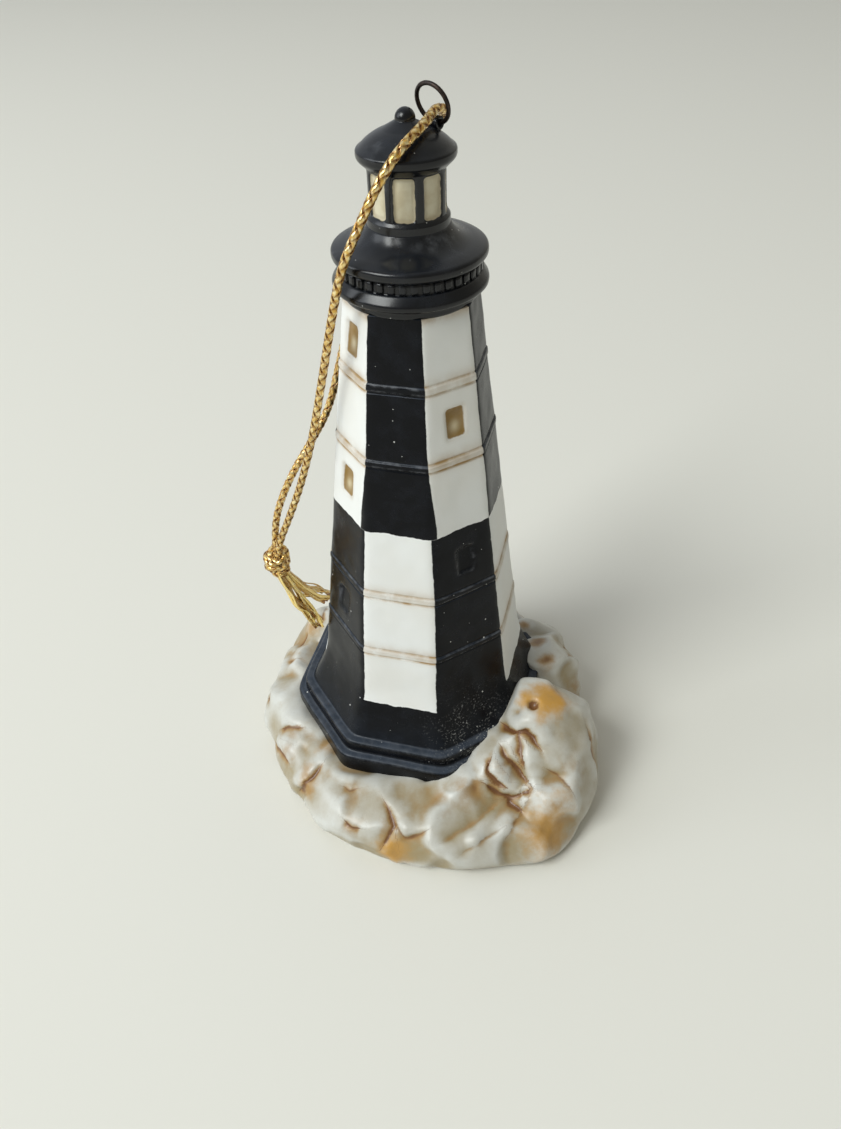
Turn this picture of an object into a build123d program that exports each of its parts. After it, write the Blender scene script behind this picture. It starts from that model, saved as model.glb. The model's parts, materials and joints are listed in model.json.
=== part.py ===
from build123d import *
import math
import os

# A small bisque ceramic lighthouse on a rock, cast in pieces that are stuck together with slip,
# with a wire hanging ring through an ear on its roof and a tied metallic cord through the ring.
# Millimetres. The tower's axis is Z, the figurine stands on Z = 0, and -Y is the middle front face.

# Casting
wall = 3.0
seat_gap = 0.15
face_count = 8

# Tower: corner radii of its octagons, and heights from the bed in the rock upwards
bed_height = 8.0
lower_step_radius = 26.3
lower_step_height = 4.7
upper_step_radius = 24.6
upper_step_height = 2.5
step_chamfer = 0.7
flare_foot_radius = 23.0
flare_height = 11.3
flare_rings = 5
shaft_foot_radius = 18.9
shaft_top_radius = 10.4
shaft_height = 67.7
tower_spigot_radius = 6.0
tower_spigot_height = 2.5
tower_roof_wall = 4.0

# Belts round the shaft, and the windows in the middle of its storeys
first_belt_rise = 7.8
storey_height = 12.48
belt_storeys = (0, 1, 3, 4)
belt_height = 1.0
belt_proud = 0.15
window_width = 3.2
window_height = 4.8
window_depth = 0.7
left_window_storeys = (0, 2, 4)
right_window_storeys = (1, 3)

# Gallery: a cornice with a row of dentils, and the round deck on it
cornice_height = 6.0
cornice_foot_radius = 9.9
cornice_band_radius = 10.3
cornice_ring_radius = 11.35
cornice_ring_height = 2.8
cornice_ring_rise = 1.4
dentil_count = 40
dentil_width = 0.9
dentil_height = 1.2
dentil_proud = 0.4
deck_rim_radius = 11.2
deck_rim_height = 1.8
deck_height = 4.1
deck_spigot_height = 2.0

# Lantern room and roof
lantern_radius = 5.5
lantern_height = 8.1
lantern_base_height = 2.0
lantern_base_proud = 0.35
lantern_wall = 1.5
lantern_lid = 1.5
pane_width = 3.1
pane_height = 5.6
pane_depth = 0.35
pane_turn = 10.0
roof_spigot_radius = 3.0
roof_spigot_height = 1.5
eave_radius = 6.8
eave_height = 1.9
dome_rise = 3.15
finial_radius = 1.33
finial_seat_radius = 1.15
finial_spigot_radius = 0.6
finial_spigot_length = 1.8

# Hanging ring in its ear
ring_radius = 2.6
wire_radius = 0.3
hinge_radius = 4.38
hinge_azimuth = 34.8
hinge_rise = 0.65
ring_turn = -27.0
ring_lean = 17.0
ear_thickness = 1.3
ear_wall = 0.45
ear_root = 1.6
wire_clearance = 0.15

# Rock: reach of its rim from the tower's axis, one value every 22.5 degrees from -X towards -Y
rock_reach = (34.5, 34.2, 34.0, 36.0, 38.0, 39.8, 43.0, 40.3, 37.2, 32.6, 32.4, 33.5, 35.0, 35.5, 36.0, 36.5)
rock_undercut = 1.8
rock_rim_height = 3.5
rock_shoulder_height = 8.2
rock_shoulder_inset = 3.5
rock_top_height = 9.6
rock_shelf = 2.2
vent_radius = 4.0

# Boulders on the rock: place, height, radius at the foot and at the top, lean of the top
boulder_sides = 9
boulder_foot = 2.0
boulder_waist = 0.72
front_boulder = ((28.5, -13.0), 21.5, 13.0, 4.4, (-3.0, 4.0))
front_shoulder = ((20.5, -19.5), 15.2, 10.0, 4.4, (-1.5, 2.5))
front_knob = ((29.5, -21.0), 12.5, 10.0, 4.5, (-1.0, 2.0))
front_step = ((12.6, -24.6), 12.6, 7.0, 3.4, (-0.5, 1.2))
back_boulder = ((25.0, 9.0), 17.0, 10.0, 4.4, (-2.0, -2.0))
back_peak = ((19.5, 17.0), 16.0, 6.5, 1.8, (-0.6, -1.5))
left_boulder = ((-24.5, 12.0), 12.5, 9.5, 4.5, (1.0, -1.0))

# Cord: a loop from the knot up the front, through the ring, and down behind to the knot again
cord_diameter = 1.2
cord_route = [
    (-25.7, -5.9, 44.2),
    (-24.5, -6.1, 48.2),
    (-22.3, -6.3, 53.0),
    (-18.6, -6.9, 61.8),
    (-15.3, -7.6, 71.5),
    (-11.9, -8.7, 83.6),
    (-8.9, -10.1, 94.4),
    (-6.6, -11.1, 101.8),
    (-4.2, -10.6, 106.8),
    (-1.8, -9.4, 111.7),
    (0.3, -7.9, 115.2),
    (1.9, -5.7, 117.0),
    (2.9, -3.2, 117.8),
    (3.4, -0.4, 118.4),
    (3.6, 2.0, 118.75),
    (4.2, 4.0, 118.3),
    (4.0, 6.0, 117.2),
    (2.7, 7.8, 115.6),
    (0.4, 9.0, 113.3),
    (-2.9, 10.1, 109.3),
    (-6.4, 10.9, 103.9),
    (-9.0, 10.2, 97.6),
    (-11.6, 7.8, 89.0),
    (-13.8, 5.3, 80.0),
    (-16.0, 3.3, 71.0),
    (-19.2, 1.0, 65.2),
    (-22.4, -1.1, 60.0),
    (-25.2, -3.2, 53.6),
    (-26.3, -4.2, 48.4),
    (-26.6, -4.4, 44.2),
]
bend_share = 0.45
knot_centre = (-26.1, -5.2, 42.6)
knot_radius = 2.6
knot_height = 6.4
front_tail = ((-25.7, -6.1, 40.4), (-18.9, -6.1, 27.6))
back_tail = ((-25.0, -4.3, 40.2), (-19.0, 1.5, 28.2))
tail_root_radius = 0.8
tail_tip_radius = 1.1

# Heights that follow from the sizes above
step_top = bed_height + lower_step_height
flare_foot = step_top + upper_step_height
shaft_foot = flare_foot + flare_height
tower_top = shaft_foot + shaft_height
cornice_top = tower_top + cornice_height
deck_top = cornice_top + deck_height
lantern_top = deck_top + lantern_height
dome_foot = lantern_top + eave_height
dome_top = dome_foot + dome_rise
corner_share = math.cos(math.pi / face_count)
shaft_taper = (shaft_foot_radius - shaft_top_radius) / shaft_height
dome_radius = (eave_radius**2 + dome_rise**2) / (2 * dome_rise)
dome_centre = dome_top - dome_radius


def shaft_radius(height):
    """Corner radius of the tapering shaft at a height."""
    return shaft_top_radius + shaft_taper * (tower_top - height)


def dome_height(radius):
    """Height of the roof's surface at a distance from the axis."""
    return dome_centre + math.sqrt(dome_radius**2 - radius**2)


def octagon(corner_radius, height):
    """Horizontal octagon with one flat side facing -Y."""
    return Pos(0, 0, height) * RegularPolygon(corner_radius, face_count, rotation=180 / face_count)


def octagon_block(corner_radius, low, high):
    return extrude(octagon(corner_radius, low), high - low)


def ruled(sections):
    return Solid.make_loft([section.wire() for section in sections], ruled=True)


def turned(outline):
    """Solid of revolution about the Z axis from a half outline drawn in the XZ plane."""
    return revolve(Plane.XZ * make_face(outline), Axis.Z)


def flare_sections(grow):
    """Octagons of the concave foot, which runs into the shaft's taper, and of the shaft's top."""
    sections = []
    spread = flare_foot_radius - shaft_foot_radius - shaft_taper * flare_height
    for ring in range(flare_rings + 1):
        left = 1 - ring / flare_rings
        height = flare_foot + ring * flare_height / flare_rings
        sections.append(octagon(shaft_radius(height) + spread * left**2 + grow, height))
    sections.append(octagon(shaft_top_radius + grow, tower_top))
    return sections


def step_block(corner_radius, low, high, grow):
    """One plinth step with its upper edge bevelled."""
    shoulder = high - step_chamfer
    sections = [
        octagon(corner_radius + grow, low),
        octagon(corner_radius + grow, shoulder),
        octagon(corner_radius + grow - step_chamfer, high),
    ]
    return ruled(sections)


def tower_outside(grow):
    """Plinth steps, flare and shaft as one solid, grown sideways to make room in the rock."""
    lower = step_block(lower_step_radius, bed_height, step_top, grow)
    upper = step_block(upper_step_radius, step_top, flare_foot, grow)
    return lower + upper + ruled(flare_sections(grow))


def belt(storey):
    """Raised band round the shaft at the foot of a storey."""
    height = shaft_foot + first_belt_rise + storey * storey_height
    low = height - belt_height / 2
    return octagon_block(shaft_radius(height) + belt_proud, low, low + belt_height)


def window(face, storey):
    """Cutter for a window recess, square to its sloping face, in the middle of a storey."""
    low = shaft_foot + first_belt_rise + storey * storey_height
    height = (low + min(low + storey_height, tower_top)) / 2
    slope = math.degrees(math.atan(shaft_taper * corner_share))
    place = Pos(0, -shaft_radius(height) * corner_share, height) * Rot(-slope, 0, 0)
    return Rot(0, 0, face * 360 / face_count) * place * Box(window_width, 2 * window_depth, window_height)


def tower_hollow():
    """Inside of the casting, open at the foot."""
    top = tower_top - tower_roof_wall
    inset = wall / corner_share
    sections = [
        octagon(upper_step_radius - inset, bed_height),
        octagon(shaft_foot_radius - inset, shaft_foot),
        octagon(shaft_radius(top) - inset, top),
    ]
    return ruled(sections)


def tower_shaft():
    tower = tower_outside(0)
    for storey in belt_storeys:
        tower += belt(storey)
    opposite = face_count // 2
    for storey in left_window_storeys:
        tower -= window(-1, storey)
        tower -= window(opposite - 1, storey)
    for storey in right_window_storeys:
        tower -= window(1, storey)
        tower -= window(opposite + 1, storey)
    tower -= tower_hollow()
    spigot = Pos(0, 0, tower_top) * Cylinder(
        tower_spigot_radius, tower_spigot_height, align=(Align.CENTER, Align.CENTER, Align.MIN)
    )
    return tower + spigot


def gallery_cornice():
    """Turned cornice with a rounded ring below a band of dentils, bored for the spigots."""
    bore = tower_spigot_radius + seat_gap
    ring_low = tower_top + cornice_ring_rise
    ring_high = ring_low + cornice_ring_height
    outline = [
        Polyline((bore, tower_top), (cornice_foot_radius, tower_top), (cornice_band_radius, ring_low)),
        ThreePointArc(
            (cornice_band_radius, ring_low),
            (cornice_ring_radius, (ring_low + ring_high) / 2),
            (cornice_band_radius, ring_high),
        ),
        Polyline(
            (cornice_band_radius, ring_high), (cornice_band_radius, cornice_top), (bore, cornice_top), (bore, tower_top)
        ),
    ]
    cornice = turned(outline)
    dentil_place = (ring_high + cornice_top) / 2
    dentil = Box(2 * dentil_proud, dentil_width, dentil_height)
    for turn in PolarLocations(cornice_band_radius, dentil_count):
        cornice += Pos(0, 0, dentil_place) * turn * dentil
    return cornice


def gallery_deck():
    """Round deck with a rounded rim and a top that sweeps up to the lantern room's seat."""
    rim_middle = cornice_top + deck_rim_height / 2
    rim_top = cornice_top + deck_rim_height
    rim_edge = deck_rim_radius - deck_rim_height / 2
    seat_radius = lantern_radius + lantern_base_proud
    spigot = tower_spigot_radius
    spigot_low = cornice_top - deck_spigot_height
    boss = lantern_radius - lantern_wall - seat_gap
    boss_top = deck_top + lantern_lid
    sweep = (seat_radius + (rim_edge - seat_radius) * 0.35, rim_top + (deck_top - rim_top) * 0.35)
    outline = [
        Polyline((0, spigot_low), (spigot, spigot_low), (spigot, cornice_top), (rim_edge, cornice_top)),
        ThreePointArc((rim_edge, cornice_top), (deck_rim_radius, rim_middle), (rim_edge, rim_top)),
        ThreePointArc((rim_edge, rim_top), sweep, (seat_radius, deck_top)),
        Polyline((seat_radius, deck_top), (boss, deck_top), (boss, boss_top), (0, boss_top), (0, spigot_low)),
    ]
    return turned(outline)


def lantern_room():
    """Drum with a thicker base, recessed panes all round, and a spigot for the roof."""
    inside = lantern_radius - lantern_wall
    ceiling = lantern_top - lantern_lid
    base_top = deck_top + lantern_base_height
    base_radius = lantern_radius + lantern_base_proud
    spigot_top = lantern_top + roof_spigot_height
    outline = Polyline(
        (inside, deck_top),
        (base_radius, deck_top),
        (base_radius, base_top - lantern_base_proud),
        (lantern_radius, base_top),
        (lantern_radius, lantern_top),
        (roof_spigot_radius, lantern_top),
        (roof_spigot_radius, spigot_top),
        (0, spigot_top),
        (0, ceiling),
        (inside, ceiling),
        close=True,
    )
    drum = turned(outline)
    pane = Pos(0, -lantern_radius, base_top + pane_height / 2) * Box(pane_width, 2 * pane_depth, pane_height)
    for number in range(face_count):
        drum -= Rot(0, 0, pane_turn + number * 360 / face_count) * pane
    return drum


def ring_frame():
    """Plane of the leaning ring: origin in the ear's hole, X along the hinge, Y up through the ring."""
    turn = math.radians(hinge_azimuth)
    place = (
        hinge_radius * math.cos(turn),
        hinge_radius * math.sin(turn),
        dome_height(hinge_radius) + hinge_rise,
    )
    heading = math.radians(ring_turn)
    lean = math.radians(ring_lean)
    along = Vector(math.cos(heading), math.sin(heading), 0)
    upright = Vector(math.sin(heading) * math.sin(lean), -math.cos(heading) * math.sin(lean), math.cos(lean))
    return Plane(origin=place, x_dir=along, z_dir=along.cross(upright))


def roof_dome():
    """Cap with a swollen eave, bored for the lantern's spigot and the finial, with the ring's ear."""
    flat = math.sqrt(dome_radius**2 - (dome_height(finial_seat_radius) - dome_centre) ** 2)
    seat = dome_height(flat)
    middle = eave_radius * math.sin(math.pi / 4)
    bulge = (eave_radius - 0.3 * (eave_radius - lantern_radius), lantern_top + 0.35 * eave_height)
    outline = [
        Line((0, lantern_top), (lantern_radius, lantern_top)),
        ThreePointArc((lantern_radius, lantern_top), bulge, (eave_radius, dome_foot)),
        ThreePointArc((eave_radius, dome_foot), (middle, dome_height(middle)), (flat, seat)),
        Polyline((flat, seat), (0, seat), (0, lantern_top)),
    ]
    roof = turned(outline)
    socket_height = roof_spigot_height + seat_gap
    bottom = (Align.CENTER, Align.CENTER, Align.MIN)
    roof -= Pos(0, 0, lantern_top) * Cylinder(roof_spigot_radius + seat_gap, socket_height, align=bottom)
    finial_hole = finial_spigot_length + seat_gap
    roof -= Pos(0, 0, seat - finial_hole) * Cylinder(finial_spigot_radius + seat_gap, finial_hole, align=bottom)
    frame = ring_frame()
    upright = Plane(origin=frame.origin, x_dir=frame.x_dir, z_dir=frame.x_dir.cross(Vector(0, 0, 1)))
    hole_radius = wire_radius + wire_clearance
    ear_radius = hole_radius + ear_wall
    across = Rot(0, 90, 0)
    root = Pos(0, -ear_root / 2, 0) * Box(ear_thickness, ear_root, 2 * ear_radius)
    roof += upright * (across * Cylinder(ear_radius, ear_thickness) + root)
    return roof - upright * (across * Cylinder(hole_radius, 2 * ear_thickness))


def finial_ball():
    """Ball cut flat where it sits on the roof, with a spigot."""
    seat = dome_height(finial_seat_radius)
    rise = math.sqrt(finial_radius**2 - finial_seat_radius**2)
    ball = Pos(0, 0, seat + rise) * Sphere(finial_radius)
    below = Pos(0, 0, seat - finial_radius) * Box(4 * finial_radius, 4 * finial_radius, 2 * finial_radius)
    top = (Align.CENTER, Align.CENTER, Align.MAX)
    spigot = Pos(0, 0, seat) * Cylinder(finial_spigot_radius, finial_spigot_length, align=top)
    return ball - below + spigot


def hanger_ring():
    return ring_frame() * Pos(0, ring_radius, 0) * Torus(ring_radius, wire_radius)


def rock_section(inset, height):
    """The rock's rim outline, drawn in evenly and set at a height."""
    corners = []
    for number, reach in enumerate(rock_reach):
        turn = math.pi + number * 2 * math.pi / len(rock_reach)
        corners.append(((reach - inset) * math.cos(turn), (reach - inset) * math.sin(turn)))
    return Pos(0, 0, height) * make_face(Polyline(*corners, close=True))


def rock_shelf_section():
    """Level ground round the plinth, which the rim's slope runs up to."""
    corners = []
    for number in range(len(rock_reach)):
        turn = math.pi + number * 2 * math.pi / len(rock_reach)
        reach = lower_step_radius + rock_shelf
        corners.append((reach * math.cos(turn), reach * math.sin(turn)))
    return Pos(0, 0, rock_top_height) * make_face(Polyline(*corners, close=True))


def boulder(place, top_height, foot_radius, top_radius, lean):
    """Uneven rock with flat cheeks, which leans towards its top."""
    sections = []
    middle = (boulder_foot + 2 * top_height) / 3
    levels = (
        (boulder_foot, foot_radius, 0.0),
        (middle, boulder_waist * foot_radius, 0.6),
        (top_height, top_radius, 1.0),
    )
    for height, radius, share in levels:
        corners = []
        for side in range(boulder_sides):
            turn = 2 * math.pi * side / boulder_sides
            reach = radius * (1 + 0.1 * math.sin(3 * turn + 1) + 0.06 * math.cos(2 * turn))
            corners.append(
                (
                    place[0] + lean[0] * share + reach * math.cos(turn),
                    place[1] + lean[1] * share + reach * math.sin(turn),
                )
            )
        sections.append(Pos(0, 0, height) * make_face(Polyline(*corners, close=True)))
    return ruled(sections)


def rock_base():
    """Rock with boulders, a bed for the plinth and a vent hole under the tower."""
    sections = [
        rock_section(rock_undercut, 0),
        rock_section(0, rock_rim_height),
        rock_section(rock_shoulder_inset, rock_shoulder_height),
        rock_shelf_section(),
    ]
    rock = ruled(sections)
    boulders = (front_boulder, front_shoulder, front_knob, front_step, back_boulder, back_peak, left_boulder)
    tallest = max(shape[1] for shape in boulders)
    room = ruled(sections[:2] + [rock_section(rock_shoulder_inset, tallest)])
    for shape in boulders:
        rock += boulder(*shape) & room
    rock -= tower_outside(seat_gap)
    bottom = (Align.CENTER, Align.CENTER, Align.MIN)
    return rock - Cylinder(vent_radius, rock_top_height, align=bottom)


def cord_radii():
    """Bend radius at each inner point of the route, as large as the two runs beside it allow."""
    radii = []
    for before, here, after in zip(cord_route, cord_route[1:], cord_route[2:]):
        run_in = Vector(here) - Vector(before)
        run_out = Vector(after) - Vector(here)
        half_turn = math.radians(run_in.get_angle(run_out)) / 2
        radii.append(bend_share * min(run_in.length, run_out.length) / math.tan(half_turn))
    return radii


def hanging_cord():
    radii = cord_radii()
    print("cord bend radii:", " ".join(f"{radius:.1f}" for radius in radii))
    path = FilletPolyline(*cord_route, radius=radii)
    start = Plane(origin=path @ 0, z_dir=path % 0)
    cord = sweep(start * Circle(cord_diameter / 2), path=path)
    area = math.pi * cord_diameter**2 / 4
    print(f"cord length {path.length:.1f}, volume {cord.volume:.2f}, section times length {area * path.length:.2f}")
    return cord


def cord_knot():
    """Barrel-shaped body of the overhand knot."""
    half = knot_height / 2
    tip = knot_radius / 2
    outline = [
        Polyline((tip, half), (0, half), (0, -half), (tip, -half)),
        ThreePointArc((tip, -half), (knot_radius, 0), (tip, half)),
    ]
    return Pos(*knot_centre) * turned(outline)


def cord_tail(ends):
    """Frayed end of the cord, which widens to its tip."""
    root, tip = Vector(ends[0]), Vector(ends[1])
    along = tip - root
    foot = Plane(origin=root, z_dir=along)
    return foot * Pos(0, 0, along.length / 2) * Cone(tail_root_radius, tail_tip_radius, along.length)


pieces = {
    "rock_base": rock_base(),
    "tower_shaft": tower_shaft(),
    "gallery_cornice": gallery_cornice(),
    "gallery_deck": gallery_deck(),
    "lantern_room": lantern_room(),
    "roof_dome": roof_dome(),
    "finial_ball": finial_ball(),
    "hanger_ring": hanger_ring(),
    "hanging_cord": hanging_cord(),
    "cord_knot": cord_knot(),
    "cord_tail_front": cord_tail(front_tail),
    "cord_tail_back": cord_tail(back_tail),
}

os.makedirs("parts", exist_ok=True)
for name, piece in pieces.items():
    export_step(piece, f"parts/{name}.step")
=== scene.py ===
import json
import math

import bmesh
import bpy
import numpy as np
from mathutils import Matrix, Vector, noise
from mathutils.bvhtree import BVHTree


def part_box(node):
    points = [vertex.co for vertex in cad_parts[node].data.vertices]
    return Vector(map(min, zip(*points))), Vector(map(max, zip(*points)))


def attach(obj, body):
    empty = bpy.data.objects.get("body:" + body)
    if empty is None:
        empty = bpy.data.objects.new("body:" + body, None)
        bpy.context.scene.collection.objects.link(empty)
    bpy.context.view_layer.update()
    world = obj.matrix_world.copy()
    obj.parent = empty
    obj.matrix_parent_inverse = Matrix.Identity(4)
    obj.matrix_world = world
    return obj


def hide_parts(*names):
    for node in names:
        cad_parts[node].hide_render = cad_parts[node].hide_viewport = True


# Camera. The figurine is seen from above its middle front face, a little to the right of it.
# The place and angles are the photograph's own, and a pixel of it can be cast onto a piece.
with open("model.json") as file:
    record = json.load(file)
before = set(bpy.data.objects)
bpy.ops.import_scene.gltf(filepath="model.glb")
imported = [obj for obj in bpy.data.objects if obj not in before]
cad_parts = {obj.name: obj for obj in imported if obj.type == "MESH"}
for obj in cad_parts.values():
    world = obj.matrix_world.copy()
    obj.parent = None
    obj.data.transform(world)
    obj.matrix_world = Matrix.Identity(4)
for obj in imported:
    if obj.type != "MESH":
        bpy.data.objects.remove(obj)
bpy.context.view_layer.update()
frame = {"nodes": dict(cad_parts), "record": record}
mm = 0.001
photo_width = 841
photo_height = 1129
focal_pixels = 900
sensor_side = 36.0
camera_place = Vector((33.54, -120.92, 150.69)) * mm
camera_heading = math.radians(15.56)
camera_pitch = math.radians(41.0)
camera_roll = math.radians(-2.12)

camera_turn = (
    Matrix.Rotation(camera_heading, 4, "Z")
    @ Matrix.Rotation(math.pi / 2 - camera_pitch, 4, "X")
    @ Matrix.Rotation(camera_roll, 4, "Z")
)
camera_data = bpy.data.cameras.new("camera")
camera_data.sensor_width = sensor_side
camera_data.lens = sensor_side * focal_pixels / photo_height
camera_data.clip_start = 10 * mm


def placed(name, data):
    """New object in the scene."""
    piece = bpy.data.objects.new(name, data)
    bpy.context.scene.collection.objects.link(piece)
    return piece


camera = placed("camera", camera_data)
camera.matrix_world = Matrix.Translation(camera_place) @ camera_turn
bpy.context.scene.camera = camera


def pixel_ray(pixel):
    """Direction from the camera through a pixel of the photograph."""
    across = (pixel[0] - photo_width / 2) / focal_pixels
    down = (pixel[1] - photo_height / 2) / focal_pixels
    return (camera_turn.to_3x3() @ Vector((across, -down, -1))).normalized()


# Rock. It is one thick bisque casting, softened by its mould, with boulders, folds and creases.
# The caster washed thin tan and rust stain over it and wiped it off the high places.
class Flow:
    """A socket in a node tree, so that maths on it reads as a plain expression."""

    def __init__(self, tree, socket=None):
        self.tree = tree
        self.socket = socket

    def feed(self, socket, value):
        if isinstance(value, Flow):
            self.tree.links.new(value.socket, socket)
        else:
            socket.default_value = value

    def add(self, kind, settings=None, values=None, out=0):
        """Adds a node, sets it up, feeds its sockets by name or number, and gives one of its outputs."""
        node = self.tree.nodes.new(kind)
        for name, setting in (settings or {}).items():
            setattr(node, name, setting)
        for key, value in (values or {}).items():
            self.feed(node.inputs[key], value)
        return Flow(self.tree, node.outputs[out])

    def math(self, operation, *others):
        values = dict(enumerate((self, *others)))
        return self.add("ShaderNodeMath", {"operation": operation}, values)

    def __add__(self, other):
        return self.math("ADD", other)

    def __sub__(self, other):
        return self.math("SUBTRACT", other)

    def __mul__(self, other):
        return self.math("MULTIPLY", other)

    def __truediv__(self, other):
        return self.math("DIVIDE", other)

    def __rsub__(self, other):
        return self.add("ShaderNodeMath", {"operation": "SUBTRACT"}, {0: other, 1: self})

    __radd__ = __add__
    __rmul__ = __mul__

    def rise(self, low, high):
        """0 below low, 1 above high, smooth between them."""
        settings = {"interpolation_type": "SMOOTHSTEP"}
        return self.add("ShaderNodeMapRange", settings, {"Value": self, "From Min": low, "From Max": high})

    def mix(self, factor, first, second):
        settings = {"data_type": "RGBA"}
        return self.add("ShaderNodeMix", settings, {0: factor, 6: first, 7: second}, 2)

    def attribute(self, name):
        return self.add("ShaderNodeAttribute", {"attribute_name": name}, out="Fac")

    def grain(self, size, detail=2.0, rough=0.5):
        """Noise on the piece's own coordinates, with lumps of a size in metres."""
        place = self.add("ShaderNodeTexCoord", out="Object")
        values = {"Vector": place, "Scale": 1 / size, "Detail": detail, "Roughness": rough}
        return self.add("ShaderNodeTexNoise", values=values)

    def specks(self, spacing, radius, share):
        """Scattered dots: a share of the cells of that spacing holds one."""
        place = self.add("ShaderNodeTexCoord", out="Object")
        bend = self.add("ShaderNodeTexNoise", values={"Vector": place, "Scale": 0.7 / radius}, out="Color")
        bending = {0: bend, 1: (radius,) * 3, 2: place}
        bent = self.add("ShaderNodeVectorMath", {"operation": "MULTIPLY_ADD"}, bending)
        cells = {"Vector": bent, "Scale": 1 / spacing}
        distance = self.add("ShaderNodeTexVoronoi", values=cells, out="Distance")
        pick = self.add("ShaderNodeTexVoronoi", values=cells, out="Color")
        chosen = self.add("ShaderNodeSeparateColor", values={0: pick}).rise(1 - share, 1 - 0.9 * share)
        return chosen * (1 - distance.rise(0.6 * radius / spacing, 1.2 * radius / spacing))


def colour(red, green, blue):
    return (red, green, blue, 1.0)


def start_finish(name):
    """New material, with its shader and a flow to build on."""
    material = bpy.data.materials.new(name)
    material.use_nodes = True
    return material, material.node_tree.nodes["Principled BSDF"], Flow(material.node_tree)


def finish_piece(piece, body, material_slot, *nodes):
    """Smooth-shaded piece that rides on a body and stands for its solids."""
    for face in piece.data.polygons:
        face.use_smooth = True
    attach(piece, body)
    if nodes:
        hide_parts(*nodes)


def mesh_rows(mesh, name):
    """Places or normals of a mesh's points, one row each."""
    rows = np.empty(len(mesh.vertices) * 3)
    mesh.vertices.foreach_get(name, rows)
    return rows.reshape(-1, 3)


def make_piece(name, points, faces, material, **attributes):
    """Mesh object from points in metres, with values on its points for the material to read."""
    mesh = bpy.data.meshes.new(name)
    mesh.from_pydata([tuple(point) for point in points], [], faces)
    mesh.materials.append(material)
    # How far each point faces upwards, which the black finishes read for their painted sheen.
    attributes["up"] = mesh_rows(mesh, "normal")[:, 2]
    for attribute, values in attributes.items():
        layer = mesh.attributes.new(attribute, "FLOAT", "POINT")
        layer.data.foreach_set("value", np.asarray(values, np.float32))
    return placed(name, mesh)


def evaluated_mesh(piece):
    """Plain mesh of an object with its modifiers applied."""
    graph = bpy.context.evaluated_depsgraph_get()
    return bpy.data.meshes.new_from_object(piece.evaluated_get(graph))


rock_voxel = 0.38 * mm
rock_soften = 30
rock_foot = 1.2 * mm
foot_fade = 5.0 * mm
bed_edge = 26.0 * mm
bed_wash = 3.5 * mm
rock_plump = 0.35 * mm
rock_hug = 1.4 * mm
bed_inside = 15 * mm
swells = ((13.0 * mm, 1.8 * mm), (6.0 * mm, 0.5 * mm))
rock_seed = 11
facet_count = 110
facet_radius = 5.2 * mm
facet_tilt = 0.16
facet_soften = 3

# Places in millimetres where the rock is lower or fuller than its lumps leave it: place, radius, rise
mounds = (
    ((34.0, 11.0, 8.0), 9.0, -3.4),
    ((24.5, 14.0, 12.0), 4.5, 3.2),
)

# Millimetres across a crease, from its middle to its lip, and creases in pixels of the photograph:
# points, depth in millimetres, raised side, strength of the stain and of the painted shade in its hairline
crease_width = 0.4
crease_slope = 2.2
lip_place = 1.9
lip_width = 1.6
stain_width = 1.5
left_lip = 1
right_lip = -1
creases = [
    (((500, 722), (507, 727), (515, 730), (526, 731), (534, 737), (541, 750)), 1.4, left_lip, 1.1),
    (((519, 732), (520, 740), (521, 750), (525, 770)), 0.8, left_lip, 0.8),
    (((499, 744), (508, 757), (520, 771), (533, 789)), 0.9, left_lip, 0.8),
    (((491, 755), (488, 763), (489, 772), (497, 782), (508, 788)), 1.4, left_lip, 1.2),
    (((481, 783), (490, 787), (500, 794), (512, 797), (524, 792), (533, 786)), 0.9, left_lip, 0.9),
    (((508, 798), (514, 804), (522, 812)), 0.8, left_lip, 1.0),
    (((547, 769), (557, 774), (567, 783), (575, 797)), 0.4, left_lip, 0.5),
    (((587, 728), (592, 748), (598, 772)), 0.6, right_lip, 0.9),
    (((531, 790), (515, 822), (506, 840), (505, 868)), 0.5, right_lip, 0.35),
    (((507, 825), (488, 836), (462, 853)), 0.5, right_lip, 0.2),
    (((384, 800), (391, 812), (394, 826), (389, 838), (379, 851)), 0.8, left_lip, 0.9),
    (((395, 820), (399, 831), (406, 838), (417, 835), (429, 829)), 0.5, left_lip, 0.5),
    (((430, 848), (452, 838), (478, 820), (505, 800)), 0.5, right_lip, 0.12),
    (((323, 762), (312, 776), (299, 791)), 0.9, right_lip, 0.8),
    (((281, 729), (287, 727), (294, 726), (304, 727)), 0.6, left_lip, 0.7),
    (((275, 742), (281, 752), (289, 765)), 0.6, left_lip, 0.9),
    (((277, 664), (288, 662), (302, 659)), 0.4, left_lip, 0.4),
    (((344, 820), (352, 827), (360, 829)), 0.4, left_lip, 0.9),
    (((343, 787), (350, 791), (358, 789)), 0.3, left_lip, 0.5),
]

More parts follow.
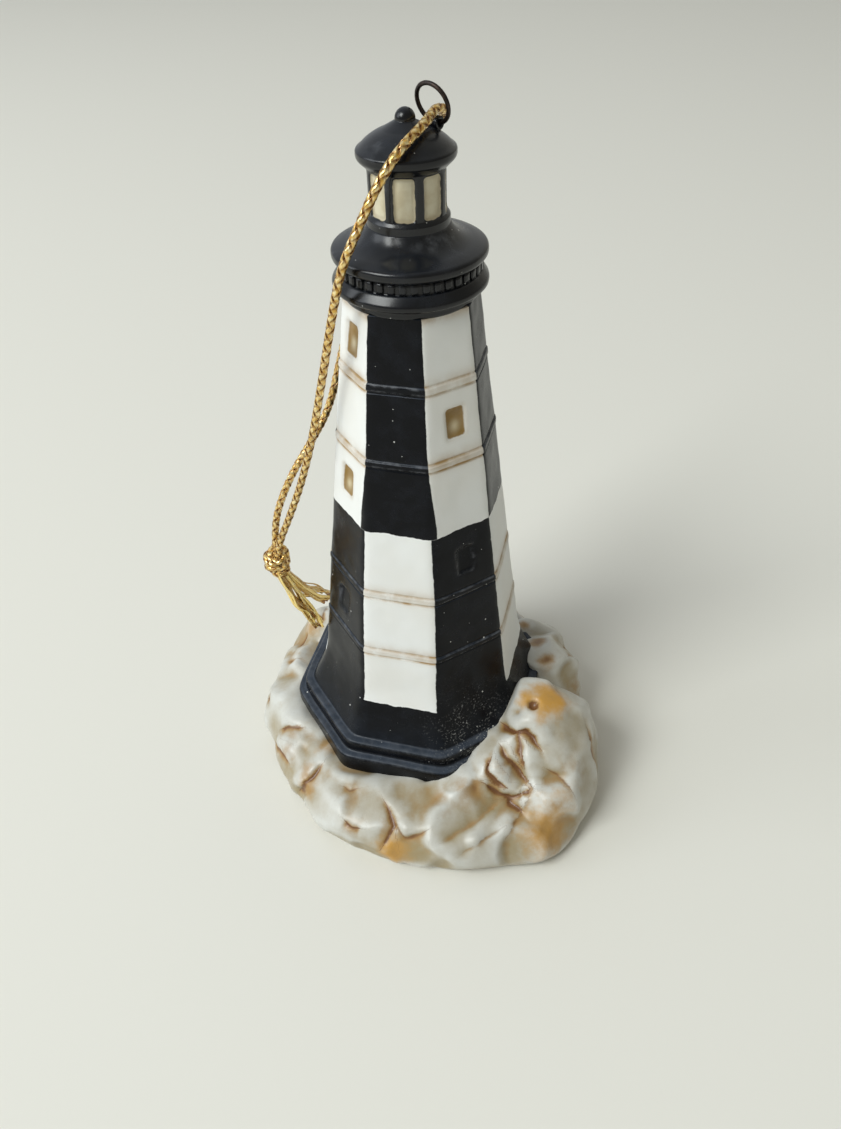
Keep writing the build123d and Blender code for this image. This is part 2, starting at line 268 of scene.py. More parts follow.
# Stains in pixels of the photograph: place, radius in millimetres, strength of tan, strength of rust
stains = [
    ((549, 698), 4.2, 0.3, 1.0),
    ((528, 697), 2.6, 0.3, 0.8),
    ((533, 704), 1.3, 1.0, 0.2),
    ((541, 715), 2.0, 0.2, 0.7),
    ((548, 832), 5.5, 0.5, 0.8),
    ((560, 800), 4.0, 0.4, 0.4),
    ((393, 850), 3.4, 0.4, 0.8),
    ((330, 745), 3.0, 0.4, 0.4),
    ((311, 624), 3.5, 0.5, 0.5),
    ((300, 640), 4.0, 0.5, 0.2),
    ((305, 785), 2.6, 0.7, 0.5),
    ((524, 625), 1.6, 1.0, 0.4),
    ((538, 642), 2.0, 0.9, 0.3),
    ((546, 662), 2.4, 0.8, 0.3),
    ((575, 690), 3.0, 0.5, 0.1),
    ((470, 790), 3.5, 0.6, 0.1),
    ((440, 800), 3.0, 0.5, 0.1),
    ((500, 770), 3.5, 0.5, 0.2),
    ((515, 812), 3.5, 0.5, 0.2),
    ((340, 770), 3.0, 0.4, 0.1),
    ((573, 770), 3.0, 0.4, 0.1),
    ((309, 777), 2.8, 0.8, 0.35),
    ((286, 752), 2.4, 0.8, 0.2),
    ((293, 731), 2.0, 0.6, 0.1),
    ((351, 826), 2.0, 0.7, 0.1),
    ((352, 792), 2.8, 0.5, 0.1),
    ((389, 826), 2.4, 0.7, 0.3),
    ((298, 652), 5.5, 0.42, 0.1),
    ((292, 690), 4.0, 0.3, 0.0),
    ((318, 728), 4.5, 0.36, 0.0),
    ((365, 772), 4.5, 0.3, 0.0),
    ((420, 800), 5.0, 0.3, 0.0),
]
pit_pixel = (533, 704)
pit_radius = 1.15 * mm
pit_depth = 1.4 * mm

# Creases on the side away from the camera: their number, and the degrees and millimetres that they start in
back_creases = 22
back_turns = (20, 215)
back_reaches = (29, 34)
back_points = 5
above_rock = 60


def voxel_copy(node, voxel):
    """Even mesh of a CAD solid."""
    shape = bmesh.new()
    shape.from_mesh(frame["nodes"][node].data)
    bmesh.ops.remove_doubles(shape, verts=shape.verts, dist=1e-6)
    mesh = bpy.data.meshes.new(node + "_copy")
    shape.to_mesh(mesh)
    shape.free()
    copy = placed(node + "_copy", mesh)
    remesh = copy.modifiers.new("even", "REMESH")
    remesh.mode = "VOXEL"
    remesh.voxel_size = voxel
    result = evaluated_mesh(copy)
    bpy.data.objects.remove(copy)
    return result


def softened(points, edges, times):
    """Rows of values drawn towards the middle of their neighbours', a number of times."""
    links = np.bincount(edges.ravel(), minlength=len(points))[:, None]
    for _ in range(times):
        total = np.zeros_like(points)
        for axis in range(points.shape[1]):
            total[:, axis] += np.bincount(edges[:, 0], points[edges[:, 1], axis], len(points))
            total[:, axis] += np.bincount(edges[:, 1], points[edges[:, 0], axis], len(points))
        points = 0.5 * points + 0.5 * total / links
    return points


def along_line(points, normals, line):
    """Each point's distance from a line, positive on the line's left, and a fade at the ends."""
    lengths = [np.linalg.norm(end - start) for start, end in zip(line[:-1], line[1:])]
    nearest = np.full(len(points), np.inf)
    sign = np.ones(len(points))
    share = np.zeros(len(points))
    for number, (start, end) in enumerate(zip(line[:-1], line[1:])):
        run = end - start
        part = np.clip((points - start) @ run / max(run @ run, 1e-12), 0, 1)
        offset = points - start - part[:, None] * run
        distance = np.linalg.norm(offset, axis=1)
        closer = distance < nearest
        nearest[closer] = distance[closer]
        left = np.einsum("ij,ij->i", np.cross(normals, run), offset)
        sign[closer] = np.sign(left[closer])
        share[closer] = ((sum(lengths[:number]) + part * lengths[number]) / sum(lengths))[closer]
    fade = np.clip(np.minimum(share, 1 - share) * 4 + 0.25, 0, 1)
    return sign * nearest, fade


def lumps(points, size, seed):
    """Smooth noise at points, with lumps of a size in metres."""
    shift = Vector((seed, 3.7 * seed, 1.9 * seed))
    return np.array([noise.noise(Vector(point) / size + shift) for point in points])


def faceted(points, normals, lift):
    """Lumps pared and filled to flat facets here and there, as on broken stone."""
    chance = np.random.default_rng(rock_seed)
    for middle in chance.choice(np.flatnonzero(lift == 1), facet_count, replace=False):
        away = np.linalg.norm(points - points[middle], axis=1) / facet_radius
        near = np.clip(3 - 3 * away, 0, 1) * np.clip(normals @ normals[middle] * 2.5 - 0.75, 0, 1)
        facing = near @ normals
        facing = facing / np.linalg.norm(facing) + chance.normal(0, facet_tilt, 3)
        facing /= np.linalg.norm(facing)
        above = (points - near @ points / near.sum()) @ facing
        points = points - (0.8 * near * lift * above)[:, None] * facing
    return points


def crease_lines(surface, cast):
    """The photographed creases, cast onto the rock, and chance ones where the camera doesn't reach."""
    lines = []
    for pixels, depth, lip, stain in creases:
        line = [spot for spot in map(cast, pixels) if spot is not None]
        if len(line) > 1:
            lines.append((line, depth, lip, stain))
    chance = np.random.default_rng(rock_seed)
    for _ in range(back_creases):
        turn = math.radians(chance.uniform(*back_turns))
        reach = chance.uniform(*back_reaches)
        turn_step = chance.uniform(-0.06, 0.06)
        reach_step = chance.uniform(-1.2, 1.6)
        line = []
        for _ in range(back_points):
            above = Vector((reach * math.cos(turn), reach * math.sin(turn), above_rock)) * mm
            hit = surface.ray_cast(above, Vector((0, 0, -1)))[0]
            if hit is not None:
                line.append(np.array(hit))
            turn += turn_step + chance.uniform(-0.02, 0.02)
            reach += reach_step
        if len(line) > 1:
            lip = left_lip if chance.uniform() < 0.5 else right_lip
            lines.append((line, chance.uniform(0.4, 0.8), lip, chance.uniform(0.4, 0.9)))
    return lines


def swelled(mesh, edges):
    """Points of the solid as a soft, lumpy and faceted rock, and their share of relief, none at the foot."""
    points = softened(mesh_rows(mesh, "co"), edges, rock_soften)
    mesh.vertices.foreach_set("co", points.ravel())
    mesh.update()
    normals = mesh_rows(mesh, "normal")
    lift = np.clip(points[:, 2] / rock_foot, 0, 1)
    reach = np.linalg.norm(points[:, :2], axis=1)
    radial = points * (1, 1, 0) / np.maximum(reach, mm)[:, None]
    inward = np.clip(0.3 - np.einsum("ij,ij->i", normals, radial), 0, 1) * (reach > bed_inside)
    points = points - radial * (rock_hug * inward * lift)[:, None]
    swell = rock_plump + sum(height * lumps(points, size, rock_seed) for size, height in swells)
    for place, radius, rise in mounds:
        away = np.linalg.norm(points / mm - place, axis=1)
        swell += rise * mm * np.exp(-((away / radius) ** 2))
    points = points + normals * (swell * lift)[:, None]
    points = softened(faceted(points, normals, lift), edges, facet_soften)
    mesh.vertices.foreach_set("co", points.ravel())
    mesh.update()
    return points, lift


def creased(points, normals, faces):
    """For each point: depth of the creases, tan and rust stain, distance from a crease, and how dark its
    hairline is, partly stain and partly painted shade.
    """
    surface = BVHTree.FromPolygons([Vector(point) for point in points], faces)

    def cast(pixel):
        hit = surface.ray_cast(camera_place, pixel_ray(pixel))[0]
        return None if hit is None else np.array(hit)

    press = np.zeros(len(points))
    tan = np.zeros(len(points))
    rust = np.zeros(len(points))
    crack = np.full(len(points), 9.0)
    crack_stain_and_shade = np.zeros(len(points))
    ripple = 0.35 * lumps(points, 1.8 * mm, 4)
    for line, depth, lip, stain in crease_lines(surface, cast):
        across, fade = along_line(points, normals, line)
        across = across / mm + ripple
        away = np.abs(across)
        raised = 0.5 + 0.5 * np.tanh(lip * across / 0.35)
        valley = 0.8 * np.exp(-away / crease_width) + 0.5 * (1 - raised) * np.exp(-away / crease_slope)
        bulge = 0.4 * raised * np.exp(-(((away - lip_place) / lip_width) ** 2))
        press += depth * fade * (valley - bulge)
        tan = np.maximum(tan, 0.8 * stain * fade * (1.2 - raised) * np.exp(-((away / stain_width) ** 2)))
        closer = np.abs(across / fade) < np.abs(crack)
        crack[closer] = (across / fade)[closer]
        crack_stain_and_shade[closer] = stain
    pit = cast(pit_pixel)
    press += pit_depth / mm * np.exp(-((np.linalg.norm(points - pit, axis=1) / pit_radius) ** 4))
    for pixel, radius, tan_share, rust_share in stains:
        spot = cast(pixel)
        if spot is not None:
            near = np.exp(-((np.linalg.norm(points - spot, axis=1) / mm / radius) ** 2))
            tan = np.maximum(tan, tan_share * near)
            rust = np.maximum(rust, rust_share * near)
    return press, tan, rust, crack, crack_stain_and_shade


def hollow(points, normals, edges, times):
    """How far in millimetres each point lies below its softened surroundings."""
    return np.einsum("ij,ij->i", softened(points, edges, times) - points, normals) / mm


def make_rock():
    """Shapes the solid into a rock, presses the creases in and works out where the stain stays, how dark the
    crease hairlines are and how much darker it is towards the foot.
    """
    mesh = voxel_copy("rock_base", rock_voxel)
    edges = np.empty(len(mesh.edges) * 2, np.int64)
    mesh.edges.foreach_get("vertices", edges)
    edges = edges.reshape(-1, 2)
    points, lift = swelled(mesh, edges)
    normals = mesh_rows(mesh, "normal")
    faces = [tuple(face.vertices) for face in mesh.polygons]
    press, tan, rust, crack, crack_stain_and_shade = creased(points, normals, faces)
    press = softened(press[:, None], edges, 1)[:, 0]
    points = points - normals * (press * lift * mm)[:, None]
    points[:, 2] = np.maximum(points[:, 2], 0)
    tan = np.clip(tan + np.clip(hollow(points, normals, edges, 12) * 2.8, -0.3, 0.6), 0, 1)
    dip = hollow(points, normals, edges, 150)
    dip -= np.median(dip)
    # Darker towards the rock's foot.
    low = np.exp(-((points[:, 2] / foot_fade) ** 2))
    beside = np.exp(-(((np.linalg.norm(points[:, :2], axis=1) - bed_edge) / bed_wash) ** 2))
    grey = np.clip(0.45 + dip * 1.4 + 0.75 * low + 0.2 * beside, 0, 1)
    marks = {"tan": tan, "rust": rust, "grey": grey, "crack": crack, "crack_stain_and_shade": crack_stain_and_shade}
    piece = make_piece("rock_base_cast", points, faces, rock_finish(), **marks)
    bpy.data.meshes.remove(mesh)
    return piece


def fine_bump(flow, shader, strength, height, depth=0.04 * mm):
    """Roughens a finish by a height that stays too fine for the mesh."""
    values = {"Strength": strength, "Distance": depth, "Height": height}
    flow.feed(shader.inputs["Normal"], flow.add("ShaderNodeBump", values=values, out="Normal"))


def rock_finish():
    """White bisque where it was wiped, beige in the dips and towards the foot, brown in the creases, each
    with a dark hairline that is partly stain and partly painted shade, and rust where it pooled.
    """
    material, shader, flow = start_finish("rock_bisque")
    tan = flow.attribute("tan")
    cloud = flow.grain(9 * mm, 4, 0.55)
    mottle = flow.grain(2.2 * mm, 5, 0.6)
    grit = flow.grain(0.4 * mm, 2)
    dips = (flow.attribute("grey") + (cloud - 0.5) * 1.1 + (mottle - 0.5) * 0.6).rise(-0.6, 1.35)
    stone = flow.mix(dips, colour(0.65, 0.66, 0.63), colour(0.31, 0.24, 0.12))
    rusted = (flow.attribute("rust") + (mottle - 0.5) * 0.8).rise(0.1, 0.9)
    toned = flow.mix(rusted, stone, colour(0.56, 0.30, 0.06))
    stained = (tan + (mottle - 0.5) * 0.7).rise(0.05, 0.8)
    washed = flow.mix(stained * 0.9, toned, colour(0.35, 0.205, 0.07))
    deep = flow.mix((tan + (mottle - 0.5) * 0.3).rise(0.6, 1.05), washed, colour(0.19, 0.085, 0.03))
    # Dark hairline along each crease: partly stain, partly painted shade in the crack under its lip.
    hairline = 1 - flow.attribute("crack").math("ABSOLUTE").rise(0.05, 0.3)
    lined = flow.mix(hairline * flow.attribute("crack_stain_and_shade"), deep, colour(0.15, 0.065, 0.025))
    speckled = flow.mix(grit.rise(0.62, 0.75) * 0.15, lined, colour(0.28, 0.22, 0.15))
    flow.feed(shader.inputs["Base Color"], speckled)
    flow.feed(shader.inputs["Roughness"], 0.28 + mottle * 0.18)
    fine_bump(flow, shader, 0.25, grit + mottle, 0.05 * mm)
    return material


rock = make_rock()
finish_piece(rock, "figurine", "rock_bisque", "rock_base")


# Tower. A hollow octagonal casting: two rounded plinth steps, a flared foot and a tapering shaft.
# Raised belts and sunk windows are cast in, and the daymark's black panels are brushed on by hand.
face_count = 8
face_turn = 2 * math.pi / face_count
corner_share = math.cos(face_turn / 2)
corner_sharpness = 46
columns_per_face = 30
tower_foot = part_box("tower_shaft")[0].z
tower_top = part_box("gallery_cornice")[0].z
shaft_end = tower_top + 0.6 * mm
step_top = tower_foot + 4.7 * mm
flare_foot = step_top + 2.5 * mm
shaft_foot = flare_foot + 11.3 * mm
lower_step_radius = 26.3 * mm
upper_step_radius = 24.6 * mm
flare_foot_radius = 23.0 * mm
shaft_foot_radius = 18.9 * mm
shaft_top_radius = 10.4 * mm
shaft_taper = (shaft_foot_radius - shaft_top_radius) / (tower_top - shaft_foot)
first_belt = shaft_foot + 7.8 * mm
storey = 12.48 * mm
belt_heights = [first_belt + number * storey for number in (0, 1, 3, 4)]
belt_half = 0.55 * mm
belt_proud = 0.15 * mm
belt_groove = 0.1 * mm
belt_margin = 1.2 * mm
step_round = 0.95 * mm
step_row = 0.3 * mm
shaft_row = 0.36 * mm
belt_row = 0.11 * mm
window_width = 3.2 * mm
window_height = 4.8 * mm
window_depth = 0.7 * mm
window_corner = 0.5 * mm
window_shift = 0.4 * mm
pale_blob = 0.8 * mm
left_windows = (0, 2, 4)
right_windows = (1, 3)
panel_split = 59.3 * mm
panel_foot = 22.4 * mm
scuff_place = np.array((14.5, -17.5, 17.0)) * mm
scuff_radius = 6.5 * mm


def rounded(outline, radius, steps=6):
    """Outline with each inner corner replaced by an arc of that radius, or less where its runs are short."""
    result = [outline[0]]
    for before, here, after in zip(outline, outline[1:], outline[2:]):
        here = Vector(here)
        run_in = Vector(before) - here
        run_out = Vector(after) - here
        half = run_in.angle(run_out) / 2
        reach = min(radius / math.tan(half), 0.45 * run_in.length, 0.45 * run_out.length)
        start = here + run_in.normalized() * reach
        end = here + run_out.normalized() * reach
        for step in range(steps + 1):
            share = step / steps
            result.append(tuple(start.lerp(here, share).lerp(here.lerp(end, share), share)))
    return result + [outline[-1]]


def stepped(outline, step):
    """Points about a step apart along an outline, without its last one."""
    rows = []
    for start, end in zip(outline, outline[1:]):
        start = Vector(start)
        end = Vector(end)
        parts = max(1, round((end - start).length / step))
        rows += [tuple(start.lerp(end, part / parts)) for part in range(parts)]
    return rows


def shaft_radius(height):
    return shaft_top_radius + shaft_taper * (tower_top - height)


def tower_outline():
    """Corner radius and height of each row of points, from the bed to the top."""
    steps = [
        (lower_step_radius - 0.4 * mm, tower_foot - 0.1 * mm),
        (lower_step_radius, tower_foot + 1.0 * mm),
        (lower_step_radius, step_top),
        (upper_step_radius + 0.1 * mm, step_top),
        (upper_step_radius, flare_foot),
        (flare_foot_radius, flare_foot),
    ]
    rows = stepped(rounded(steps, step_round), step_row)
    flare = shaft_foot - flare_foot
    spread = flare_foot_radius - shaft_radius(flare_foot)
    heights = list(np.arange(flare_foot, shaft_end, shaft_row)) + [shaft_end]
    for belt in belt_heights:
        heights += list(np.arange(belt - belt_margin, belt + belt_margin, belt_row))
    for height in sorted(heights):
        left = max(0, 1 - (height - flare_foot) / flare)
        rows.append((shaft_radius(height) + spread * left**2, height))
    return np.array(rows)


def octagon_reach(turn, side):
    """Distance to an octagon with softened corners, whose sides are that far from the axis."""
    facing = np.cos(turn[..., None] - face_turn * np.arange(face_count))
    return side * (np.clip(facing, 0, None) ** corner_sharpness).sum(-1) ** (-1 / corner_sharpness)


def window_places():
    """Face, sideways place and middle height of each window, on the front side faces and those opposite."""
    opposite = face_count // 2
    places = []
    for first, storeys in ((-1, left_windows), (1, right_windows)):
        for number in storeys:
            low = first_belt + number * storey
            middle = (low + min(low + storey, shaft_end)) / 2
            for face in (first, first + opposite):
                places.append((face % face_count, first * window_shift, middle))
    return places


def grid_faces(rows, columns):
    """Faces of a tube of points, counted upwards row by row."""
    faces = []
    for row in range(rows - 1):
        for column in range(columns):
            following = (column + 1) % columns
            low = row * columns
            high = low + columns
            faces.append((low + column, low + following, high + following, high + column))
    return faces


def capped_faces(rows, columns):
    """Faces of such a tube with both its ends closed."""
    last = (rows - 1) * columns
    foot = tuple(reversed(range(columns)))
    top = tuple(range(last, last + columns))
    return grid_faces(rows, columns) + [foot, top]


def around(turn, reach, height):
    """Points from angles about the axis, counted from the front, and their reach and height."""
    return np.stack([reach * np.sin(turn), -reach * np.cos(turn), height], -1).reshape(-1, 3)


def outward(points):
    """Level directions from the axis to points."""
    return points * (1, 1, 0) / np.linalg.norm(points[:, :2], axis=1)[:, None]


def rounded_box(out_across, out_up, corner):
    """Distance outside a box with rounded corners, from the distances outside its sides."""
    across, up = out_across + corner, out_up + corner
    beyond = np.hypot(np.clip(across, 0, None), np.clip(up, 0, None))
    return np.where((across < 0) & (up < 0), np.maximum(across, up), beyond) - corner


def make_tower():
    """Rows of points round the tower, pressed in at belts and windows, with worn edges, tan stain, painted
    highlights on the plinth ledges and painted shade under the cornice.
    """
    outline = tower_outline()
    columns = face_count * columns_per_face
    share = np.arange(columns) / columns_per_face
    across = 2 * (share - np.floor(share)) - 1
    flat_turn = np.floor(share) * face_turn + np.arctan(across * math.tan(face_turn / 2))
    turn = np.broadcast_to(flat_turn, (len(outline), columns))
    height = np.broadcast_to(outline[:, 1][:, None], turn.shape).copy()
    side = np.broadcast_to(outline[:, 0][:, None] * corner_share, turn.shape).copy()
    wash_and_shade = np.zeros(turn.shape)
    rub_and_sheen = np.zeros(turn.shape)
    window = np.full(turn.shape, 9.0)
    pale = np.zeros(turn.shape)
    for belt in belt_heights:
        above = (height - belt) / mm
        half = belt_half / mm
        side += belt_proud * 0.5 * (np.tanh((above + half) / 0.14) - np.tanh((above - half) / 0.14))
        for edge in (-half, half):
            groove = above - edge * 1.3
            side -= belt_groove * np.exp(-((groove / 0.2) ** 2))
            wash_and_shade = np.maximum(wash_and_shade, 0.9 * np.exp(-((groove / 0.34) ** 2)))
            rub_and_sheen = np.maximum(rub_and_sheen, np.exp(-(((above - edge * 0.8) / 0.16) ** 2)))
        wash_and_shade = np.maximum(wash_and_shade, 0.5 * np.exp(-(((above - 0.4) / 1.3) ** 2)))
    # Painted highlight: a pale line along the edge of each plinth ledge.
    for ledge in (step_top, flare_foot):
        rub_and_sheen = np.maximum(rub_and_sheen, 0.4 * np.exp(-((((height - ledge) / mm + 0.2) / 0.3) ** 2)))
    face = np.round(turn / face_turn).astype(int) % face_count
    along = side * np.tan(turn - np.round(turn / face_turn) * face_turn)
    for window_face, sideways, middle in window_places():
        beside = along - sideways
        out_across = np.abs(beside) - window_width / 2
        out_up = np.abs(height - middle) - window_height / 2
        outside = rounded_box(out_across, out_up, window_corner) / mm
        inside = (face == window_face) / (1 + np.exp(np.clip(outside / 0.13, -40, 40)))
        climb = (height - middle) / window_height
        side -= window_depth * inside * (0.72 + 0.5 * climb)
        blob = np.exp(-((beside / pale_blob) ** 2) - ((climb + 0.14) / 0.2) ** 2)
        window = np.where(face == window_face, np.minimum(window, outside), window)
        pale = np.maximum(pale, inside * blob)
        halo = (face == window_face) * np.exp(-((np.clip(outside, 0, None) / 0.5) ** 2))
        wash_and_shade = np.maximum(wash_and_shade, 0.35 * halo * (outside > 0))
        rub_and_sheen = np.maximum(rub_and_sheen, 0.8 * (face == window_face) * np.exp(-(((outside - 0.1) / 0.2) ** 2)))
    # Tan band along the shaft's top under the cornice: partly stain, partly painted shade under the ring's
    # overhang.
    wash_and_shade = np.maximum(wash_and_shade, 0.75 * np.exp(-(((height - shaft_end) / mm / 0.9) ** 2)))
    points = around(turn, octagon_reach(turn, side), height)
    wobble = 0.1 * mm * lumps(points, 7 * mm, 2) + 0.05 * mm * lumps(points, 2.5 * mm, 5)
    points = points + outward(points) * wobble[:, None]
    scuff = np.exp(-((np.linalg.norm(points - scuff_place, axis=1) / scuff_radius) ** 2))
    faces = capped_faces(len(outline), columns)
    grids = {"wash_and_shade": wash_and_shade, "rub_and_sheen": rub_and_sheen, "window": window, "pale": pale}
    marks = {name: values.ravel() for name, values in grids.items()}
    return make_piece("tower_shaft_cast", points, faces, tower_finish(), **marks, scuff=scuff)


black_paint = colour(0.0022, 0.0026, 0.004)
black_sheen = colour(0.0055, 0.0065, 0.0095)
# Colour of the painted sheen that stands in for reflected light on upward-facing black.
painted_ledge_sheen = colour(0.050, 0.063, 0.085)
bare_bisque = colour(0.62, 0.62, 0.60)
brushed_specular = 0.15


def black_bisque(flow, wear_and_sheen, sheen):
    """Colour and roughness of the brushed black: a painted sheen on upward-facing surfaces, paler where it is
    rubbed and along painted highlights, bare bisque where it is chipped.
    """
    cloud = flow.grain(3.5 * mm, 4, 0.6)
    base = flow.mix(cloud.rise(0.4, 0.7), black_paint, black_sheen)
    # Painted sheen: the black turns paler and bluer where the surface faces upwards.
    ledge = flow.mix(flow.attribute("up").rise(0.3, 1.0) * (0.3 + cloud * 0.9) * sheen, base, painted_ledge_sheen)
    chips = flow.specks(2.4 * mm, 0.16 * mm, 0.33) + flow.specks(1.3 * mm, 0.085 * mm, 0.3) * 0.8
    chipped = flow.mix(chips.math("MINIMUM", 1), ledge, bare_bisque)
    # Paler where the paint is rubbed, and on the tower also along the painted highlights of its plinth
    # ledges.
    rubbed = wear_and_sheen * flow.grain(1.3 * mm, 3).rise(0.35, 0.7)
    return flow.mix(rubbed * 0.5, chipped, colour(0.20, 0.21, 0.23)), 0.15 + cloud * 0.2


def tower_finish():
    """White bisque with tan stain beside the belts and windows and along the top, partly painted shade under
    the cornice, and black panels by face and height with slightly uneven brushed edges.
    """
    material, shader, flow = start_finish("tower_bisque")
    place = flow.add("ShaderNodeSeparateXYZ", values={0: flow.add("ShaderNodeTexCoord", out="Object")})
    sockets = place.socket.node.outputs
    across, back, height = (Flow(flow.tree, socket) for socket in sockets)
    waver = flow.grain(3.0 * mm, 2) - 0.5
    tremble = flow.grain(0.6 * mm, 2) - 0.5
    turn = across.math("ARCTAN2", 0 - back) + waver * 0.03 + tremble * 0.008
    edge = waver * (0.9 * mm) + tremble * (0.2 * mm)
    upper = (height + edge).rise(panel_split - 0.04 * mm, panel_split + 0.04 * mm)
    foot = 1 - (height + edge).rise(panel_foot - 0.04 * mm, panel_foot + 0.04 * mm)
    front = turn.math("COSINE").rise(0.6, 0.8)
    spread = upper * (1 - height.rise(panel_split, panel_split + 14 * mm)) * 0.28
    drawn_in = (1 - height.rise(panel_foot, panel_foot + 24 * mm)) * 0.1
    even = ((turn * 4).math("COSINE") + (spread - drawn_in) * front).rise(-0.02, 0.02)
    black = (even * upper + (1 - even) * (1 - upper)).math("MAXIMUM", foot)
    patchy = flow.grain(2.4 * mm, 4, 0.6)
    clouded = flow.grain(14 * mm, 3).rise(0.35, 0.7)
    white = flow.mix(clouded, colour(0.79, 0.805, 0.795), colour(0.765, 0.765, 0.735))
    pooled = flow.grain(6 * mm, 2).rise(0.45, 0.65)
    stained = flow.attribute("wash_and_shade") * (patchy.rise(0.15, 0.6) * 0.75 + pooled * 0.5)
    washed = flow.mix(stained.math("MINIMUM", 0.95), white, colour(0.36, 0.225, 0.085))
    inside = 1 - (flow.attribute("window") + tremble * 0.15).rise(-0.12, 0.12)
    tinted = flow.mix(flow.attribute("pale") * 0.85, colour(0.26, 0.155, 0.04), colour(0.64, 0.56, 0.38))
    glazed = flow.mix(inside * (0.8 + patchy * 0.3), washed, tinted)
    # The tower takes the full painted sheen on its ledges and other upward-facing faces.
    paint, gloss = black_bisque(flow, flow.attribute("rub_and_sheen"), 1.0)
    scuffs = flow.attribute("scuff") * flow.grain(0.4 * mm, 3, 0.7).rise(0.55, 0.68) * patchy.rise(0.38, 0.55)
    scuffed = flow.mix(scuffs * 0.6, paint, bare_bisque)
    flow.feed(shader.inputs["Base Color"], flow.mix(black, glazed, scuffed))
    shader.inputs["Specular IOR Level"].default_value = brushed_specular
    flow.feed(shader.inputs["Roughness"], gloss * black + (1 - black) * 0.45)
    fine_bump(flow, shader, 0.18, flow.grain(0.5 * mm, 2) + black * 0.8)
    return material


tower = make_tower()
finish_piece(tower, "figurine", "tower_bisque", "tower_shaft")


# Gallery cornice. A turned ring that seats on the tower's top, with a band of dentils above it.
# It is dipped in the same satin black as the deck, the lantern's frame and the roof.
turned_columns = 160
turned_sheen = 0.15
satin_specular = 0.42
cornice_low, cornice_high = (corner.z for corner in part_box("gallery_cornice"))
cornice_foot_radius = 9.9 * mm
cornice_band_radius = 10.3 * mm
cornice_ring_radius = 11.35 * mm
cornice_neck_top = cornice_low + 1.7 * mm
cornice_ring_low = cornice_low + 2.15 * mm
cornice_ring_middle = cornice_low + 2.9 * mm
cornice_ring_high = cornice_low + 4.1 * mm
dentil_band_low = cornice_low + 4.3 * mm
dentil_count = 40
dentil_width = 0.95 * mm
dentil_height = 1.5 * mm
dentil_proud = 0.3 * mm
dentil_foot = cornice_low + 4.2 * mm
dentil_sink = 0.1 * mm
slip_overlap = 0.2 * mm


def turned_piece(name, outline, material, wobble=0.05 * mm, columns=turned_columns):
    """Closed lathe shape from an outline of radius and height that starts and ends on the axis."""
    turn = np.arange(columns) * 2 * math.pi / columns
    rings = np.array(outline[1:-1])
    reach = np.broadcast_to(rings[:, 0][:, None], (len(rings), columns))
    height = np.broadcast_to(rings[:, 1][:, None], reach.shape)
    points = around(turn, reach, height)
    points = points + outward(points) * (wobble * lumps(points, 4 * mm, 8))[:, None]
    points = np.vstack([points, (0, 0, outline[0][1]), (0, 0, outline[-1][1])])
    faces = grid_faces(len(rings), columns)
    last = (len(rings) - 1) * columns
    for column in range(columns):
        following = (column + 1) % columns
        faces.append((following, column, len(points) - 2))
        faces.append((last + column, last + following, len(points) - 1))
    return make_piece(name, points, faces, material)


def satin_black():
    """The black of the turned pieces, a little worn, with a painted sheen on their upward-facing surfaces."""
    material, shader, flow = start_finish("black_bisque")
    paint, gloss = black_bisque(flow, flow.grain(6 * mm, 2).rise(0.55, 0.8), turned_sheen)
    flow.feed(shader.inputs["Base Color"], paint)
    shader.inputs["Specular IOR Level"].default_value = satin_specular
    flow.feed(shader.inputs["Roughness"], gloss)
    fine_bump(flow, shader, 0.15, flow.grain(0.5 * mm, 2))
    return material


satin = satin_black()
cornice_outline = [
    (0, shaft_end - slip_overlap),
    (cornice_foot_radius, shaft_end - slip_overlap),
    (cornice_foot_radius, cornice_neck_top),
    (cornice_ring_radius - 0.05 * mm, cornice_ring_low),
    (cornice_ring_radius + 0.05 * mm, cornice_ring_middle),
    (cornice_band_radius + 0.25 * mm, cornice_ring_high),
    (cornice_band_radius - 0.1 * mm, dentil_band_low),
    (cornice_band_radius - 0.2 * mm, cornice_high),
    (0, cornice_high),
]
cornice = turned_piece("gallery_cornice_turned", rounded(cornice_outline, 0.9 * mm), satin)
finish_piece(cornice, "figurine", "black_bisque", "gallery_cornice")


def add_inputs(tree, **sizes):
    """Named number and material inputs of a node tree, with a flow for each."""
    tree.interface.new_socket("Geometry", in_out="INPUT", socket_type="NodeSocketGeometry")
    for name, kind in sizes.items():
        tree.interface.new_socket(name, in_out="INPUT", socket_type=kind)
    tree.interface.new_socket("Geometry", in_out="OUTPUT", socket_type="NodeSocketGeometry")
    source = tree.nodes.new("NodeGroupInput")
    return {socket.name: Flow(tree, socket) for socket in source.outputs if socket.name}


def end_tree(flow, geometry, material):
    realized = flow.add("GeometryNodeRealizeInstances", values={0: geometry})
    coated = flow.add("GeometryNodeSetMaterial", values={"Geometry": realized, "Material": material})
    sink = flow.tree.nodes.new("NodeGroupOutput")
    flow.feed(sink.inputs[0], coated)


def grown_piece(name, source, tree, **values):
    """Plain mesh piece that a node tree makes from an object, which is then removed."""
    modifier = source.modifiers.new("grow", "NODES")
    modifier.node_group = tree
    for item in tree.interface.items_tree:
        if item.in_out == "INPUT" and item.name in values:
            modifier[item.identifier] = values[item.name]
    mesh = evaluated_mesh(source)
    mesh.name = name
    source.modifiers.remove(modifier)
    bpy.data.objects.remove(source)
    return placed(name, mesh)


